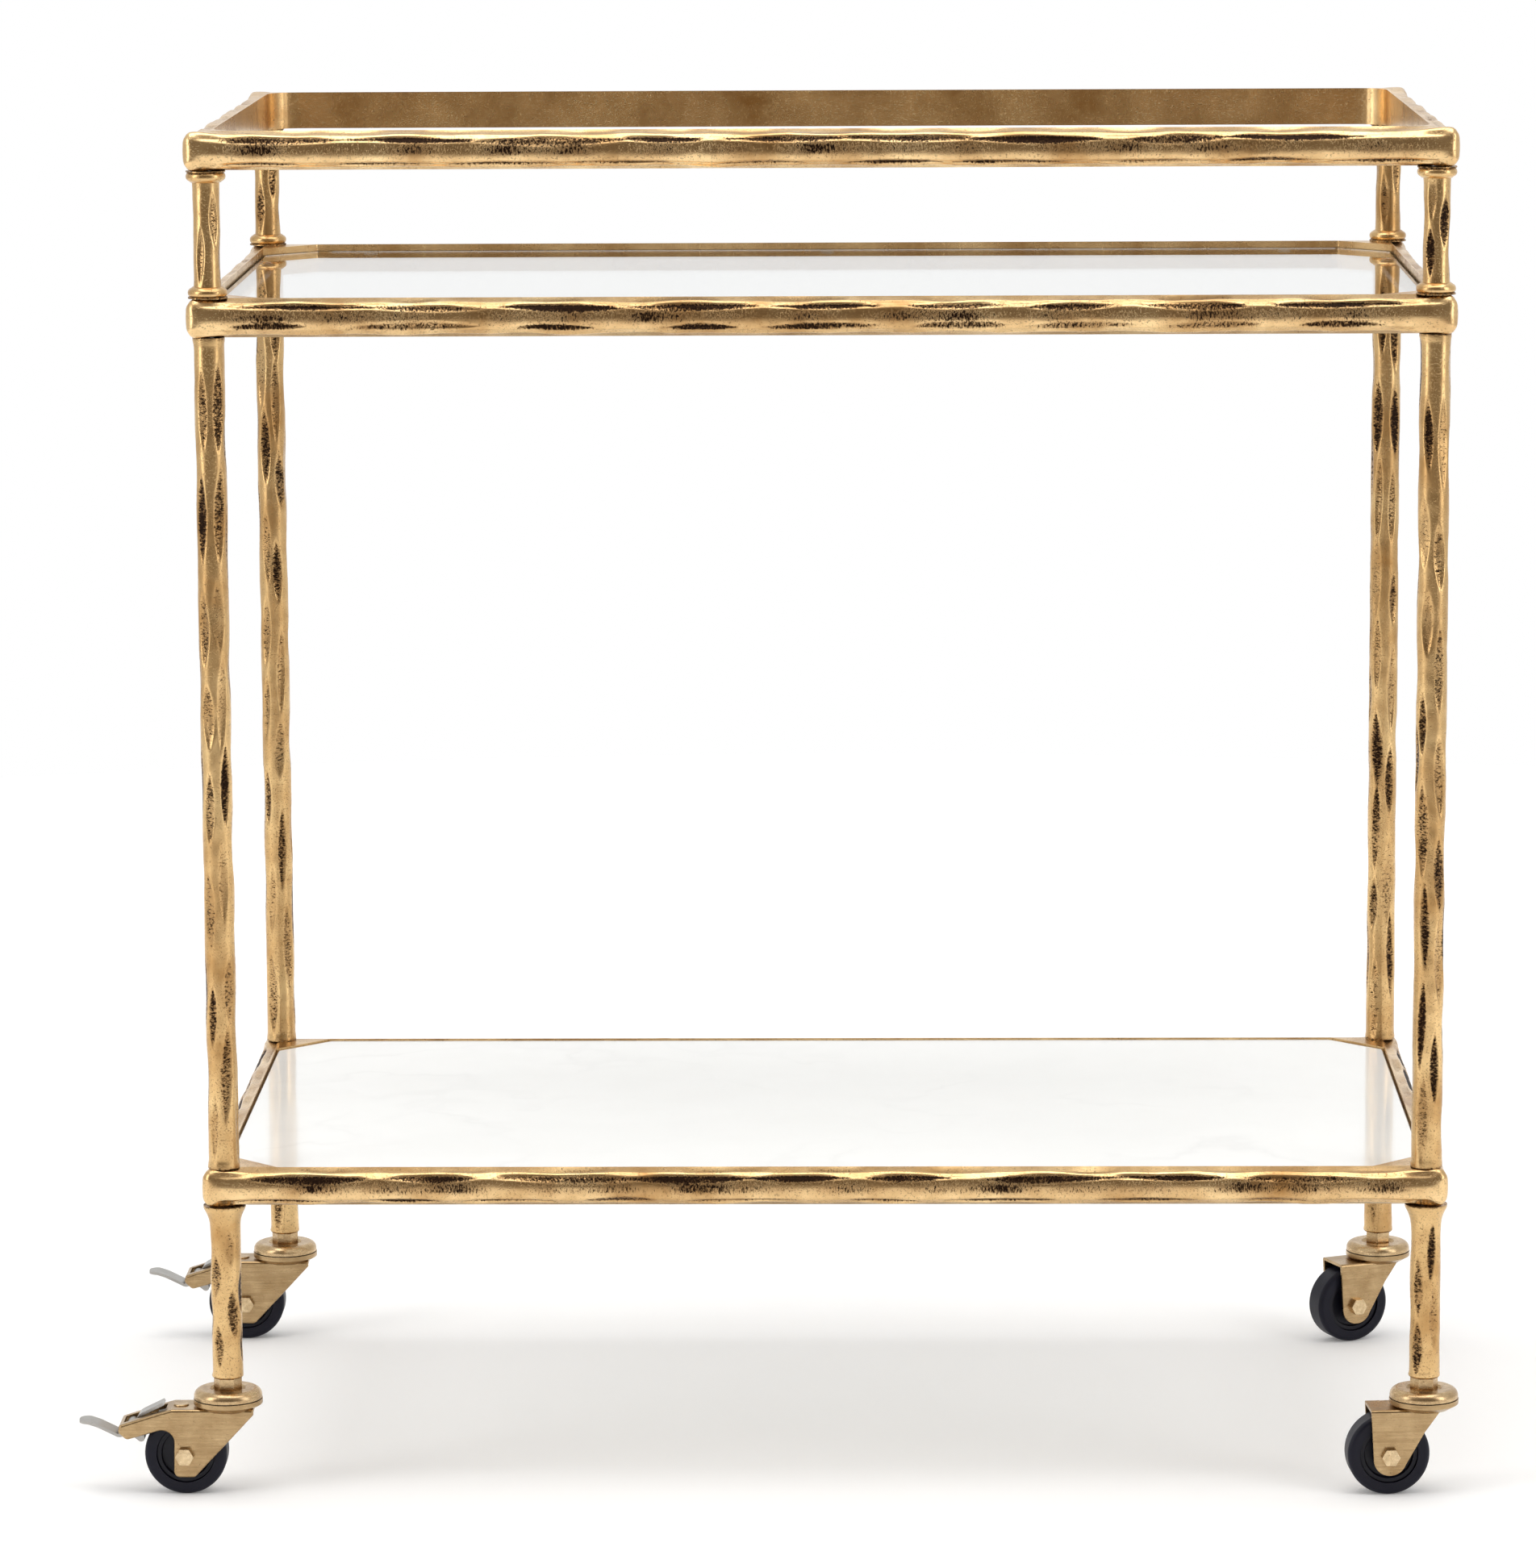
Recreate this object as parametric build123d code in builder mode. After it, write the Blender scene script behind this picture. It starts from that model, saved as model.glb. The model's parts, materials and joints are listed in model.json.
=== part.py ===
from build123d import *
import os

# A two-shelf bar cart in hammered antique brass.  Millimetres, +Z up, origin on the floor
# under the middle of the frames, +X to the right, the front of the cart towards -Y.

# Overall size
cart_width = 762.0
cart_depth = 420.0
cart_height = 838.0

# The three rectangular frames are bars of the same height
bar_height = 23.5
shelf_frame_top = 738.0
base_frame_top = 204.5
outer_corner_radius = 7.5
bar_edge_radius = 6.0
top_rail_thickness = 16.0
top_rail_inner_corner_radius = 20.0

# Shelf frames: a rebated bar with a thin ledge and a triangular gusset in each corner
rebate_inset = 12.5
gusset_leg = 33.0
ledge_width = 12.0
ledge_thickness = 4.0
rim_edge_radius = 1.5

# Shelves and the pads they rest on
glass_thickness = 6.0
glass_drop = 4.5
marble_thickness = 10.0
marble_drop = 1.0
shelf_side_gap = 1.2
shelf_edge_break = 0.8
pad_thickness = 1.5
pad_radius = 4.5
pads_along_width = 3
pad_row_offset = 300.0
pad_column_offset = 120.0

# Posts and legs stand on one axis in each corner
post_inset = 13.0
post_radius = 8.5
post_bore_radius = 6.0
collar_radius = 12.0
collar_height = 7.0
collar_edge_radius = 2.5
leg_radius = 9.75
leg_bore_radius = 7.75
flare_radius = 13.0
flare_height = 12.0
leg_end_chamfer = 1.2

# Threaded pieces are plain cylinders of the thread's outer size
stud_radius = 4.0
stud_hole_radius = 4.05
frame_hole_radius = 4.25
stud_reach = 20.0
top_stud_reach = 14.0
plug_length = 22.0
post_plug_length = 19.0
plug_gap = 0.05

# Casters
wheel_radius = 25.4
tyre_width = 18.0
tyre_shoulder_radius = 3.0
hub_radius = 17.95
tyre_seat_gap = 0.05
hub_rim_width = 15.0
hub_rim_depth = 3.0
hub_web_width = 10.0
boss_radius = 6.5
boss_width = 22.4
axle_radius = 3.0
running_gap = 0.05
hex_across_flats = 10.0
bolt_head_height = 4.0
nut_height = 5.0
bolt_tip = 1.5
fork_gap = 23.0
sheet = 2.0
bend_radius = 1.8
fork_top = 54.5
dish_radius = 21.3
dish_floor_radius = 15.5
dish_lip_top = 59.0
cup_radius = 21.0
cup_rim_bottom = 59.6
cup_top = 65.5
cup_floor_top = 64.0
cup_skin = 2.2
ball_radius = 3.8
ball_ring_radius = 14.6
ball_count = 11
ball_height = 58.9
kingpin_radius = 4.0
kingpin_head_radius = 6.5
kingpin_head_height = 2.0
kingpin_gap = 0.3
neck_across_flats = 15.0
caster_height = 72.3
stem_radius = 5.0
stem_reach = 25.0
plain_trail = 22.5
brake_trail = 26.0

# Brake pedal, given from the middle of the axle backwards (negative) and up from the floor
brake_pivot_back = -33.0
brake_pivot_height = 41.5
brake_pin_radius = 1.5
brake_pin_bite = 1.2
pedal_thickness = 1.8
pedal_width = 15.0
pad_plate_width = 12.0
slot_width = 15.6
slot_length = 26.0
slot_back = 25.0
pedal_barrel_radius = 4.2
pedal_heel_radius = 2.2
pedal_tip_radius = 6.0
rivet_back = -3.0
rivet_radius = 4.75
rivet_head_height = 0.9
rivet_shank_radius = 2.0
rivet_tail_radius = 3.0
rivet_tail_height = 0.5
spring_thickness = 0.5
spring_width = 9.0

fork_half_width = fork_gap / 2 + sheet
post_x = cart_width / 2 - post_inset
post_y = cart_depth / 2 - post_inset
top_rail_bottom = cart_height - bar_height
shelf_frame_bottom = shelf_frame_top - bar_height
base_frame_bottom = base_frame_top - bar_height

corners = {
    "front_left": (-post_x, -post_y),
    "front_right": (post_x, -post_y),
    "back_left": (-post_x, post_y),
    "back_right": (post_x, post_y),
}
corner_places = list(corners.values())

# How each caster stands at rest: turn about its stem, and whether it carries a brake
caster_turns = {"front_left": 0.0, "front_right": 5.0, "back_left": 0.0, "back_right": 24.0}
braked = ("front_left", "back_left")

os.makedirs("parts", exist_ok=True)


def finish(part, name):
    part.label = name
    export_step(part, f"parts/{name}.step")


# ---------------------------------------------------------------------------
# Frames
# ---------------------------------------------------------------------------


def rounded_bar_edges(part):
    """The long outer edges at the top and the bottom of a frame's outline."""
    top = part.edges().group_by(Axis.Z)[-1]
    bottom = part.edges().group_by(Axis.Z)[0]
    return top + bottom


def make_top_rail():
    with BuildPart() as top_rail:
        with BuildSketch(Plane.XY.offset(top_rail_bottom)):
            RectangleRounded(cart_width, cart_depth, outer_corner_radius)
        extrude(amount=bar_height)
        fillet(rounded_bar_edges(top_rail), bar_edge_radius)
        with BuildSketch(Plane.XY.offset(top_rail_bottom)):
            RectangleRounded(
                cart_width - 2 * top_rail_thickness,
                cart_depth - 2 * top_rail_thickness,
                top_rail_inner_corner_radius,
            )
        extrude(amount=bar_height, mode=Mode.SUBTRACT)
        with BuildSketch(Plane.XY.offset(top_rail_bottom)):
            with Locations(*corner_places):
                Circle(stud_hole_radius)
        extrude(amount=top_stud_reach + 1, mode=Mode.SUBTRACT)
    return top_rail.part


def clipped_rectangle(level, width, depth, leg):
    """A level rectangle with its four corners cut off at 45 degrees."""
    with BuildSketch(Plane.XY.offset(level)) as outline:
        Rectangle(width, depth)
        chamfer(outline.vertices(), leg)
    return outline.sketch


def make_shelf_frame(top, shelf_drop, shelf_thickness):
    """A rebated frame whose ledge carries a shelf on pads."""
    bottom = top - bar_height
    ledge_top = top - shelf_drop - shelf_thickness - pad_thickness
    rebate_width = cart_width - 2 * rebate_inset
    rebate_depth = cart_depth - 2 * rebate_inset
    with BuildPart() as frame:
        with BuildSketch(Plane.XY.offset(bottom)):
            RectangleRounded(cart_width, cart_depth, outer_corner_radius)
        extrude(amount=bar_height)
        fillet(rounded_bar_edges(frame), bar_edge_radius)
        rebate = clipped_rectangle(ledge_top, rebate_width, rebate_depth, gusset_leg)
        extrude(rebate, amount=top - ledge_top, mode=Mode.SUBTRACT)
        under_ledge = clipped_rectangle(bottom, rebate_width, rebate_depth, gusset_leg)
        extrude(under_ledge, amount=ledge_top - ledge_thickness - bottom, mode=Mode.SUBTRACT)
        window = clipped_rectangle(
            bottom,
            rebate_width - 2 * ledge_width,
            rebate_depth - 2 * ledge_width,
            gusset_leg - ledge_width / 2,
        )
        extrude(window, amount=bar_height, mode=Mode.SUBTRACT)
        with BuildSketch(Plane.XY.offset(bottom)):
            with Locations(*corner_places):
                Circle(frame_hole_radius)
        extrude(amount=bar_height, mode=Mode.SUBTRACT)
        rim = frame.edges().group_by(Axis.Z)[-1].filter_by(GeomType.LINE)
        inner_rim = rim.filter_by(
            lambda edge: abs(edge.center().X) <= rebate_width / 2 + 0.1
            and abs(edge.center().Y) <= rebate_depth / 2 + 0.1
        )
        fillet(inner_rim, rim_edge_radius)
    return frame.part


def make_shelf(top, thickness):
    width = cart_width - 2 * (rebate_inset + shelf_side_gap)
    depth = cart_depth - 2 * (rebate_inset + shelf_side_gap)
    with BuildPart() as shelf:
        extrude(clipped_rectangle(top - thickness, width, depth, gusset_leg), amount=thickness)
        chamfer(shelf.edges().group_by(Axis.Z)[-1], shelf_edge_break)
    return shelf.part


def make_shelf_pads():
    """Clear bumpers between each ledge and its shelf, along the two long and two short sides."""
    pad_y = cart_depth / 2 - rebate_inset - ledge_width / 2
    pad_x = cart_width / 2 - rebate_inset - ledge_width / 2
    places = []
    for side in (-1, 1):
        for column in (-1, 0, 1):
            places.append((column * pad_row_offset, side * pad_y))
        for row in (-1, 1):
            places.append((side * pad_x, row * pad_column_offset))
    glass_ledge = shelf_frame_top - glass_drop - glass_thickness - pad_thickness
    marble_ledge = base_frame_top - marble_drop - marble_thickness - pad_thickness
    with BuildPart() as pads:
        for ledge in (glass_ledge, marble_ledge):
            with BuildSketch(Plane.XY.offset(ledge)):
                with Locations(*places):
                    Circle(pad_radius)
            extrude(amount=pad_thickness)
    return pads.part


finish(make_top_rail(), "top_rail")
finish(make_shelf_frame(shelf_frame_top, glass_drop, glass_thickness), "shelf_frame")
finish(make_shelf_frame(base_frame_top, marble_drop, marble_thickness), "base_frame")
finish(make_shelf(shelf_frame_top - glass_drop, glass_thickness), "glass_shelf")
finish(make_shelf(base_frame_top - marble_drop, marble_thickness), "marble_shelf")
finish(make_shelf_pads(), "shelf_pads")


# ---------------------------------------------------------------------------
# Posts, legs and what joins them
# ---------------------------------------------------------------------------


def make_tube(x, y, bottom, top, radius, bore_radius):
    with BuildPart() as tube:
        with BuildSketch(Plane((x, y, bottom))):
            Circle(radius)
            Circle(bore_radius, mode=Mode.SUBTRACT)
        extrude(amount=top - bottom)
    return tube.part


def make_lower_leg(x, y):
    """A solid turned leg that flares out under the base frame, drilled at both ends."""
    side = Plane(origin=(x, y, 0), x_dir=(1, 0, 0), z_dir=(0, -1, 0))
    with BuildPart() as lower_leg:
        with BuildSketch(side):
            with BuildLine():
                Polyline(
                    (0, base_frame_bottom),
                    (0, caster_height),
                    (leg_radius - leg_end_chamfer, caster_height),
                    (leg_radius, caster_height + leg_end_chamfer),
                    (leg_radius, base_frame_bottom - flare_height),
                )
                TangentArc(
                    (leg_radius, base_frame_bottom - flare_height),
                    (flare_radius, base_frame_bottom - sheet),
                    tangent=(0, 1),
                )
                Polyline(
                    (flare_radius, base_frame_bottom - sheet),
                    (flare_radius, base_frame_bottom),
                    (0, base_frame_bottom),
                )
            make_face()
        revolve(axis=Axis((x, y, 0), (0, 0, 1)))
        with BuildSketch(Plane((x, y, base_frame_bottom - stud_reach - 1))):
            Circle(stud_hole_radius)
        extrude(amount=stud_reach + 1, mode=Mode.SUBTRACT)
        with BuildSketch(Plane((x, y, caster_height))):
            Circle(stem_radius + plug_gap)
        extrude(amount=stem_reach + 1, mode=Mode.SUBTRACT)
    return lower_leg.part


def make_collars():
    """The bead rings at both ends of the four upper posts."""
    with BuildPart() as collars:
        for bottom in (shelf_frame_top, top_rail_bottom - collar_height):
            with BuildSketch(Plane.XY.offset(bottom)):
                with Locations(*corner_places):
                    Circle(collar_radius)
                    Circle(post_radius + plug_gap, mode=Mode.SUBTRACT)
            extrude(amount=collar_height)
        outer = collars.edges().filter_by(GeomType.CIRCLE).group_by(SortBy.RADIUS)[-1]
        fillet(outer, collar_edge_radius)
    return collars.part


def make_plugs(bottoms, length, radius):
    """Threaded plugs pressed into the ends of the tubes."""
    with BuildPart() as plugs:
        for bottom in bottoms:
            with BuildSketch(Plane.XY.offset(bottom)):
                with Locations(*corner_places):
                    Circle(radius)
                    Circle(stud_hole_radius, mode=Mode.SUBTRACT)
            extrude(amount=length)
    return plugs.part


def make_studs(bottoms, length):
    """Threaded studs through the frame corners."""
    with BuildPart() as studs:
        for bottom in bottoms:
            with BuildSketch(Plane.XY.offset(bottom)):
                with Locations(*corner_places):
                    Circle(stud_radius)
            extrude(amount=length)
    return studs.part


for corner, (x, y) in corners.items():
    post = make_tube(x, y, shelf_frame_top, top_rail_bottom, post_radius, post_bore_radius)
    leg = make_tube(x, y, base_frame_top, shelf_frame_bottom, leg_radius, leg_bore_radius)
    finish(post, f"upper_post_{corner}")
    finish(leg, f"leg_{corner}")
    finish(make_lower_leg(x, y), f"lower_leg_{corner}")

post_plug_bottoms = (shelf_frame_top, top_rail_bottom - post_plug_length)
leg_plug_bottoms = (base_frame_top, shelf_frame_bottom - plug_length)
finish(make_collars(), "post_collars")
finish(make_plugs(post_plug_bottoms, post_plug_length, post_bore_radius - plug_gap), "post_plugs")
finish(make_plugs(leg_plug_bottoms, plug_length, leg_bore_radius - plug_gap), "leg_plugs")
frame_stud_bottoms = (shelf_frame_bottom - stud_reach, base_frame_bottom - stud_reach)
finish(make_studs(frame_stud_bottoms, bar_height + 2 * stud_reach - 2), "frame_studs")
finish(make_studs((top_rail_bottom - top_stud_reach,), 2 * top_stud_reach), "top_studs")


# ---------------------------------------------------------------------------
# Casters.  Each is drawn about its own stem: local x runs from the wheel towards the stem.
# ---------------------------------------------------------------------------


def stem_plane(corner):
    """The level plane of a caster, on the floor under its stem."""
    x, y = corners[corner]
    turned = Plane.XY.rotated((0, 0, caster_turns[corner]))
    return Plane(origin=(x, y, 0), x_dir=turned.x_dir, z_dir=(0, 0, 1))


def upright_plane(place, back=0.0, height=0.0):
    """The caster's upright middle plane, with its origin that far from the stem."""
    origin = place.from_local_coords((back, 0, height))
    return Plane(origin=origin, x_dir=place.x_dir, z_dir=-place.y_dir)


def level_plane(place, back=0.0, height=0.0):
    """A level plane of the caster, with its origin that far from the stem."""
    return Plane(place.from_local_coords((back, 0, height)), place.x_dir, (0, 0, 1))


def stem_axis(place):
    return Axis(place.origin, (0, 0, 1))


def make_stem(place):
    """Threaded stem, hexagonal neck and the kingpin with its swaged lower head."""
    with BuildPart() as stem:
        with BuildSketch(level_plane(place, 0, cup_floor_top)):
            RegularPolygon(neck_across_flats / 2, 6, major_radius=False)
        extrude(amount=caster_height - cup_floor_top)
        with BuildSketch(level_plane(place, 0, caster_height)):
            Circle(stem_radius)
        extrude(amount=stem_reach)
        head_top = fork_top - sheet - kingpin_gap
        with BuildSketch(level_plane(place, 0, head_top)):
            Circle(kingpin_radius)
        extrude(amount=cup_floor_top - head_top)
        with BuildSketch(level_plane(place, 0, head_top - kingpin_head_height)):
            Circle(kingpin_head_radius)
        extrude(amount=kingpin_head_height)
    return stem.part


def make_cup(place):
    """The domed upper race: a flat middle, a raised rounded ring and a short rim."""
    inner = cup_radius - cup_skin
    bore = kingpin_radius + running_gap
    underside = cup_top - cup_skin
    with BuildPart() as cup:
        with BuildSketch(upright_plane(place)):
            with BuildLine():
                FilletPolyline(
                    (bore, cup_floor_top),
                    (ball_ring_radius - 4.6, cup_floor_top),
                    (ball_ring_radius - 3.6, cup_top),
                    (cup_radius, cup_top),
                    (cup_radius, cup_rim_bottom),
                    radius=(0.4, 0.4, 4.6),
                )
                FilletPolyline(
                    (cup_radius, cup_rim_bottom),
                    (inner, cup_rim_bottom),
                    (inner, underside),
                    (ball_ring_radius - 3.0, underside),
                    (ball_ring_radius - 3.6, cup_floor_top - sheet),
                    (bore, cup_floor_top - sheet),
                    (bore, cup_floor_top),
                    radius=(0.3, 2.4, 0.3, 0.3, 0.3),
                )
            make_face()
        revolve(axis=stem_axis(place))
    return cup.part


def make_balls(place):
    with BuildPart() as balls:
        with Locations(level_plane(place, 0, ball_height)):
            with PolarLocations(ball_ring_radius, ball_count):
                Sphere(ball_radius)
    return balls.part


def plain_fork_outline(middle, trail):
    """Cheek of the plain fork: a lobe round the axle that widens up to the top plate."""
    lobe_height = wheel_radius - 2
    lobe = 10.2
    with BuildSketch(middle) as outline:
        with BuildLine():
            Polyline(
                (-trail + lobe * 0.94, lobe_height - lobe * 0.34),
                (-trail + 21, 40),
                (-trail + 30, fork_top - sheet),
                (-trail + 33, fork_top),
                (-trail - 12, fork_top),
                (-trail - lobe, lobe_height),
            )
            ThreePointArc(
                (-trail - lobe, lobe_height),
                (-trail, lobe_height - lobe),
                (-trail + lobe * 0.94, lobe_height - lobe * 0.34),
            )
        make_face()
    return outline.sketch


def brake_fork_outline(middle, trail):
    """Cheek of the braked fork: a toe below the axle and an arm that reaches back over the wheel."""
    with BuildSketch(middle) as outline:
        with BuildLine():
            FilletPolyline(
                (-trail, fork_top),
                (-trail - 8.0, fork_top),
                (-trail - 17.4, fork_top - 2.6),
                (-trail - 40.4, fork_top - 10.0),
                (-trail - 41.4, fork_top - 14.5),
                (-trail - 36.0, fork_top - 19.2),
                (-trail - 6.5, fork_top - 11.0),
                (-trail - 7.2, wheel_radius - 13.9),
                (-trail + 6.0, wheel_radius - 13.9),
                (-trail + 42.5, fork_top - sheet - 1.5),
                (-trail + 42.5, fork_top),
                radius=(3, 3, 1.5, 3, 3, 7.5, 4, 4, 1),
            )
            Line((-trail + 42.5, fork_top), (-trail, fork_top))
        make_face()
    return outline.sketch


def plain_fork_hollow(middle, trail):
    with BuildSketch(middle) as outline:
        with BuildLine():
            Polyline(
                (-trail - 60, 0),
                (-trail + 60, 0),
                (-trail + 60, fork_top - sheet),
                (-trail - 60, fork_top - sheet),
                close=True,
            )
        make_face()
    return outline.sketch


def brake_fork_hollow(middle, trail):
    with BuildSketch(middle) as outline:
        with BuildLine():
            Polyline(
                (-trail - 60, 0),
                (-trail + 60, 0),
                (-trail + 60, fork_top - sheet),
                (-trail - 8.0, fork_top - sheet),
                (-trail - 17.4, fork_top - 2.6 - sheet),
                (-trail - 60, fork_top - 16.3 - sheet),
                close=True,
            )
        make_face()
    return outline.sketch


def bend_edges(part, place):
    """The two long rows of edges where the top plate turns down into the cheeks."""
    side = place.y_dir

    def on_bend(edge):
        offset = abs((edge.center() - place.origin).dot(side))
        level = abs(edge.tangent_at(0.5).dot(side))
        top_face = edge.center().Z > fork_top - 11
        back_face = (edge.center() - place.origin).dot(place.x_dir) < 14
        flat = abs(edge.tangent_at(0.5).Z) < 0.45
        return offset > fork_half_width - 0.1 and level < 0.1 and top_face and back_face and flat

    return part.edges().filter_by(on_bend)


def make_brake_cuts(place, trail):
    """Slot for the pad plate, blind holes for the pedal's pin, and the rivet's hole."""
    pin_reach = fork_gap / 2 + brake_pin_bite + running_gap
    with BuildPart() as cuts:
        with BuildSketch(level_plane(place, -trail - slot_back)):
            Rectangle(slot_length, slot_width)
        extrude(amount=caster_height)
        with BuildSketch(upright_plane(place, -trail + brake_pivot_back, brake_pivot_height)):
            Circle(brake_pin_radius + running_gap)
        extrude(amount=pin_reach, both=True)
        with BuildSketch(level_plane(place, -trail + rivet_back)):
            Circle(rivet_shank_radius + running_gap)
        extrude(amount=caster_height)
    return cuts.part


def make_fork(place, trail, outline, hollow, cuts=None):
    middle = upright_plane(place)
    with BuildPart() as fork:
        extrude(outline(middle, trail), amount=fork_half_width, both=True)
        fillet(bend_edges(fork, place), bend_radius)
        extrude(hollow(middle, trail), amount=fork_gap / 2, both=True, mode=Mode.SUBTRACT)
        with BuildSketch(middle):
            with BuildLine():
                Polyline(
                    (0, fork_top - sheet),
                    (dish_floor_radius, fork_top - sheet),
                    (dish_radius, fork_top - sheet + 3.5),
                    (dish_radius, dish_lip_top),
                    (dish_radius - sheet, dish_lip_top),
                    (dish_radius - sheet, fork_top + 2.6),
                    (dish_floor_radius + 1.6, fork_top),
                    (0, fork_top),
                    close=True,
                )
            make_face()
        revolve(axis=stem_axis(place))
        with BuildSketch(level_plane(place)):
            Circle(kingpin_radius + running_gap)
        extrude(amount=caster_height, mode=Mode.SUBTRACT)
        with BuildSketch(upright_plane(place, -trail, wheel_radius)):
            Circle(axle_radius + running_gap)
        extrude(amount=fork_half_width + sheet, both=True, mode=Mode.SUBTRACT)
        if cuts:
            add(cuts, mode=Mode.SUBTRACT)
    return fork.part


def make_axle(place, trail):
    """Hexagon-head axle bolt and its nut, as two solids."""
    middle = upright_plane(place, -trail, wheel_radius)
    with BuildPart() as bolt:
        with BuildSketch(middle.offset(fork_half_width)):
            RegularPolygon(hex_across_flats / 2, 6, major_radius=False)
        extrude(amount=bolt_head_height)
        with BuildSketch(middle.offset(-fork_half_width - nut_height - bolt_tip)):
            Circle(axle_radius)
        extrude(amount=2 * fork_half_width + nut_height + bolt_tip)
    with BuildPart() as nut:
        with BuildSketch(middle.offset(-fork_half_width - nut_height)):
            RegularPolygon(hex_across_flats / 2, 6, major_radius=False)
            Circle(axle_radius + running_gap, mode=Mode.SUBTRACT)
        extrude(amount=nut_height)
    return Compound(children=[bolt.part.solid(), nut.part.solid()])


def make_hub(place, trail):
    """Wheel centre with a rim, a thin web and a boss that fills the fork."""
    middle = upright_plane(place, -trail, wheel_radius)
    with BuildPart() as hub:
        with BuildSketch(middle):
            Circle(hub_radius)
            Circle(hub_radius - hub_rim_depth, mode=Mode.SUBTRACT)
        extrude(amount=hub_rim_width / 2, both=True)
        with BuildSketch(middle):
            Circle(hub_radius - hub_rim_depth)
        extrude(amount=hub_web_width / 2, both=True)
        with BuildSketch(middle):
            Circle(boss_radius)
        extrude(amount=boss_width / 2, both=True)
        with BuildSketch(middle):
            Circle(axle_radius + running_gap)
        extrude(amount=boss_width, both=True, mode=Mode.SUBTRACT)
    return hub.part


def make_tyre(place, trail):
    middle = upright_plane(place, -trail, wheel_radius)
    with BuildPart() as tyre:
        with BuildSketch(middle):
            Circle(wheel_radius)
        extrude(amount=tyre_width / 2, both=True)
        fillet(tyre.edges().filter_by(GeomType.CIRCLE), tyre_shoulder_radius)
        with BuildSketch(middle):
            Circle(hub_radius + tyre_seat_gap)
        extrude(amount=tyre_width, both=True, mode=Mode.SUBTRACT)
    return tyre.part


def make_brake_pedal(place, trail):
    """Rocking pedal: a foot tongue behind, a release plate through the slot, a heel for the tyre."""
    middle = upright_plane(place, -trail, 0)
    pivot = (brake_pivot_back, brake_pivot_height)
    across = place.y_dir
    with BuildPart() as pedal:
        with BuildLine(middle) as tongue:
            FilletPolyline(
                (-35.0, 38.4),
                (-41.0, 36.4),
                (-54.0, 42.8),
                (-60.0, 44.8),
                (-66.0, 45.0),
                radius=(4, 20, 8),
            )
        start = Plane(origin=tongue.line @ 0, x_dir=across, z_dir=tongue.line % 0)
        with BuildSketch(start):
            Rectangle(pedal_width, pedal_thickness)
        sweep(path=tongue.line)
        tip = pedal.edges().sort_by_distance(tongue.line @ 1)
        fillet(tip.filter_by(lambda edge: edge.length < pedal_thickness + 0.1)[:2], pedal_tip_radius)
        with BuildLine(middle) as pad:
            FilletPolyline((-31.5, 43.5), (-27.5, 49.6), (-13.6, 56.4), radius=(5,))
        start = Plane(origin=pad.line @ 0, x_dir=across, z_dir=pad.line % 0)
        with BuildSketch(start):
            Rectangle(pad_plate_width, pedal_thickness)
        sweep(path=pad.line)
        with BuildSketch(middle):
            with Locations(pivot):
                Circle(pedal_barrel_radius)
            with Locations((brake_pivot_back + 5.4, brake_pivot_height - 6.7)):
                Circle(pedal_heel_radius)
            make_hull()
        extrude(amount=pad_plate_width / 2, both=True)
        with BuildSketch(middle):
            with Locations(pivot):
                Circle(brake_pin_radius + running_gap)
        extrude(amount=pedal_width, both=True, mode=Mode.SUBTRACT)
    return pedal.part


def make_brake_pin(place, trail):
    with BuildPart() as pin:
        with BuildSketch(upright_plane(place, -trail + brake_pivot_back, brake_pivot_height)):
            Circle(brake_pin_radius)
        extrude(amount=fork_gap / 2 + brake_pin_bite, both=True)
    return pin.part


def make_brake_spring(place, trail):
    """Leaf spring that lies along the underside of the fork's top and arm."""
    under = fork_top - sheet
    with BuildPart() as spring:
        with BuildSketch(upright_plane(place, -trail, 0)):
            with BuildLine():
                Polyline(
                    (3.0, under),
                    (-8.0, under),
                    (-17.4, under - 2.6),
                    (-17.4, under - 2.6 - spring_thickness),
                    (-8.0, under - spring_thickness),
                    (3.0, under - spring_thickness),
                    close=True,
                )
            make_face()
        extrude(amount=spring_width / 2, both=True)
        with BuildSketch(level_plane(place, -trail + rivet_back)):
            Circle(rivet_shank_radius + running_gap)
        extrude(amount=caster_height, mode=Mode.SUBTRACT)
    return spring.part


def make_brake_rivet(place, trail):
    """Low-domed rivet that holds the leaf spring under the fork's top plate."""
    bottom = fork_top - sheet - spring_thickness - rivet_tail_height
    back = -trail + rivet_back
    with BuildPart() as rivet:
        with BuildSketch(level_plane(place, back, bottom)):
            Circle(rivet_tail_radius)
        extrude(amount=rivet_tail_height)
        with BuildSketch(level_plane(place, back, bottom)):
            Circle(rivet_shank_radius)
        extrude(amount=fork_top - bottom)
        with BuildSketch(level_plane(place, back, fork_top)):
            Circle(rivet_radius)
        extrude(amount=rivet_head_height)
        fillet(rivet.edges().group_by(Axis.Z)[-1], rivet_head_height * 0.8)
    return rivet.part


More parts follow.
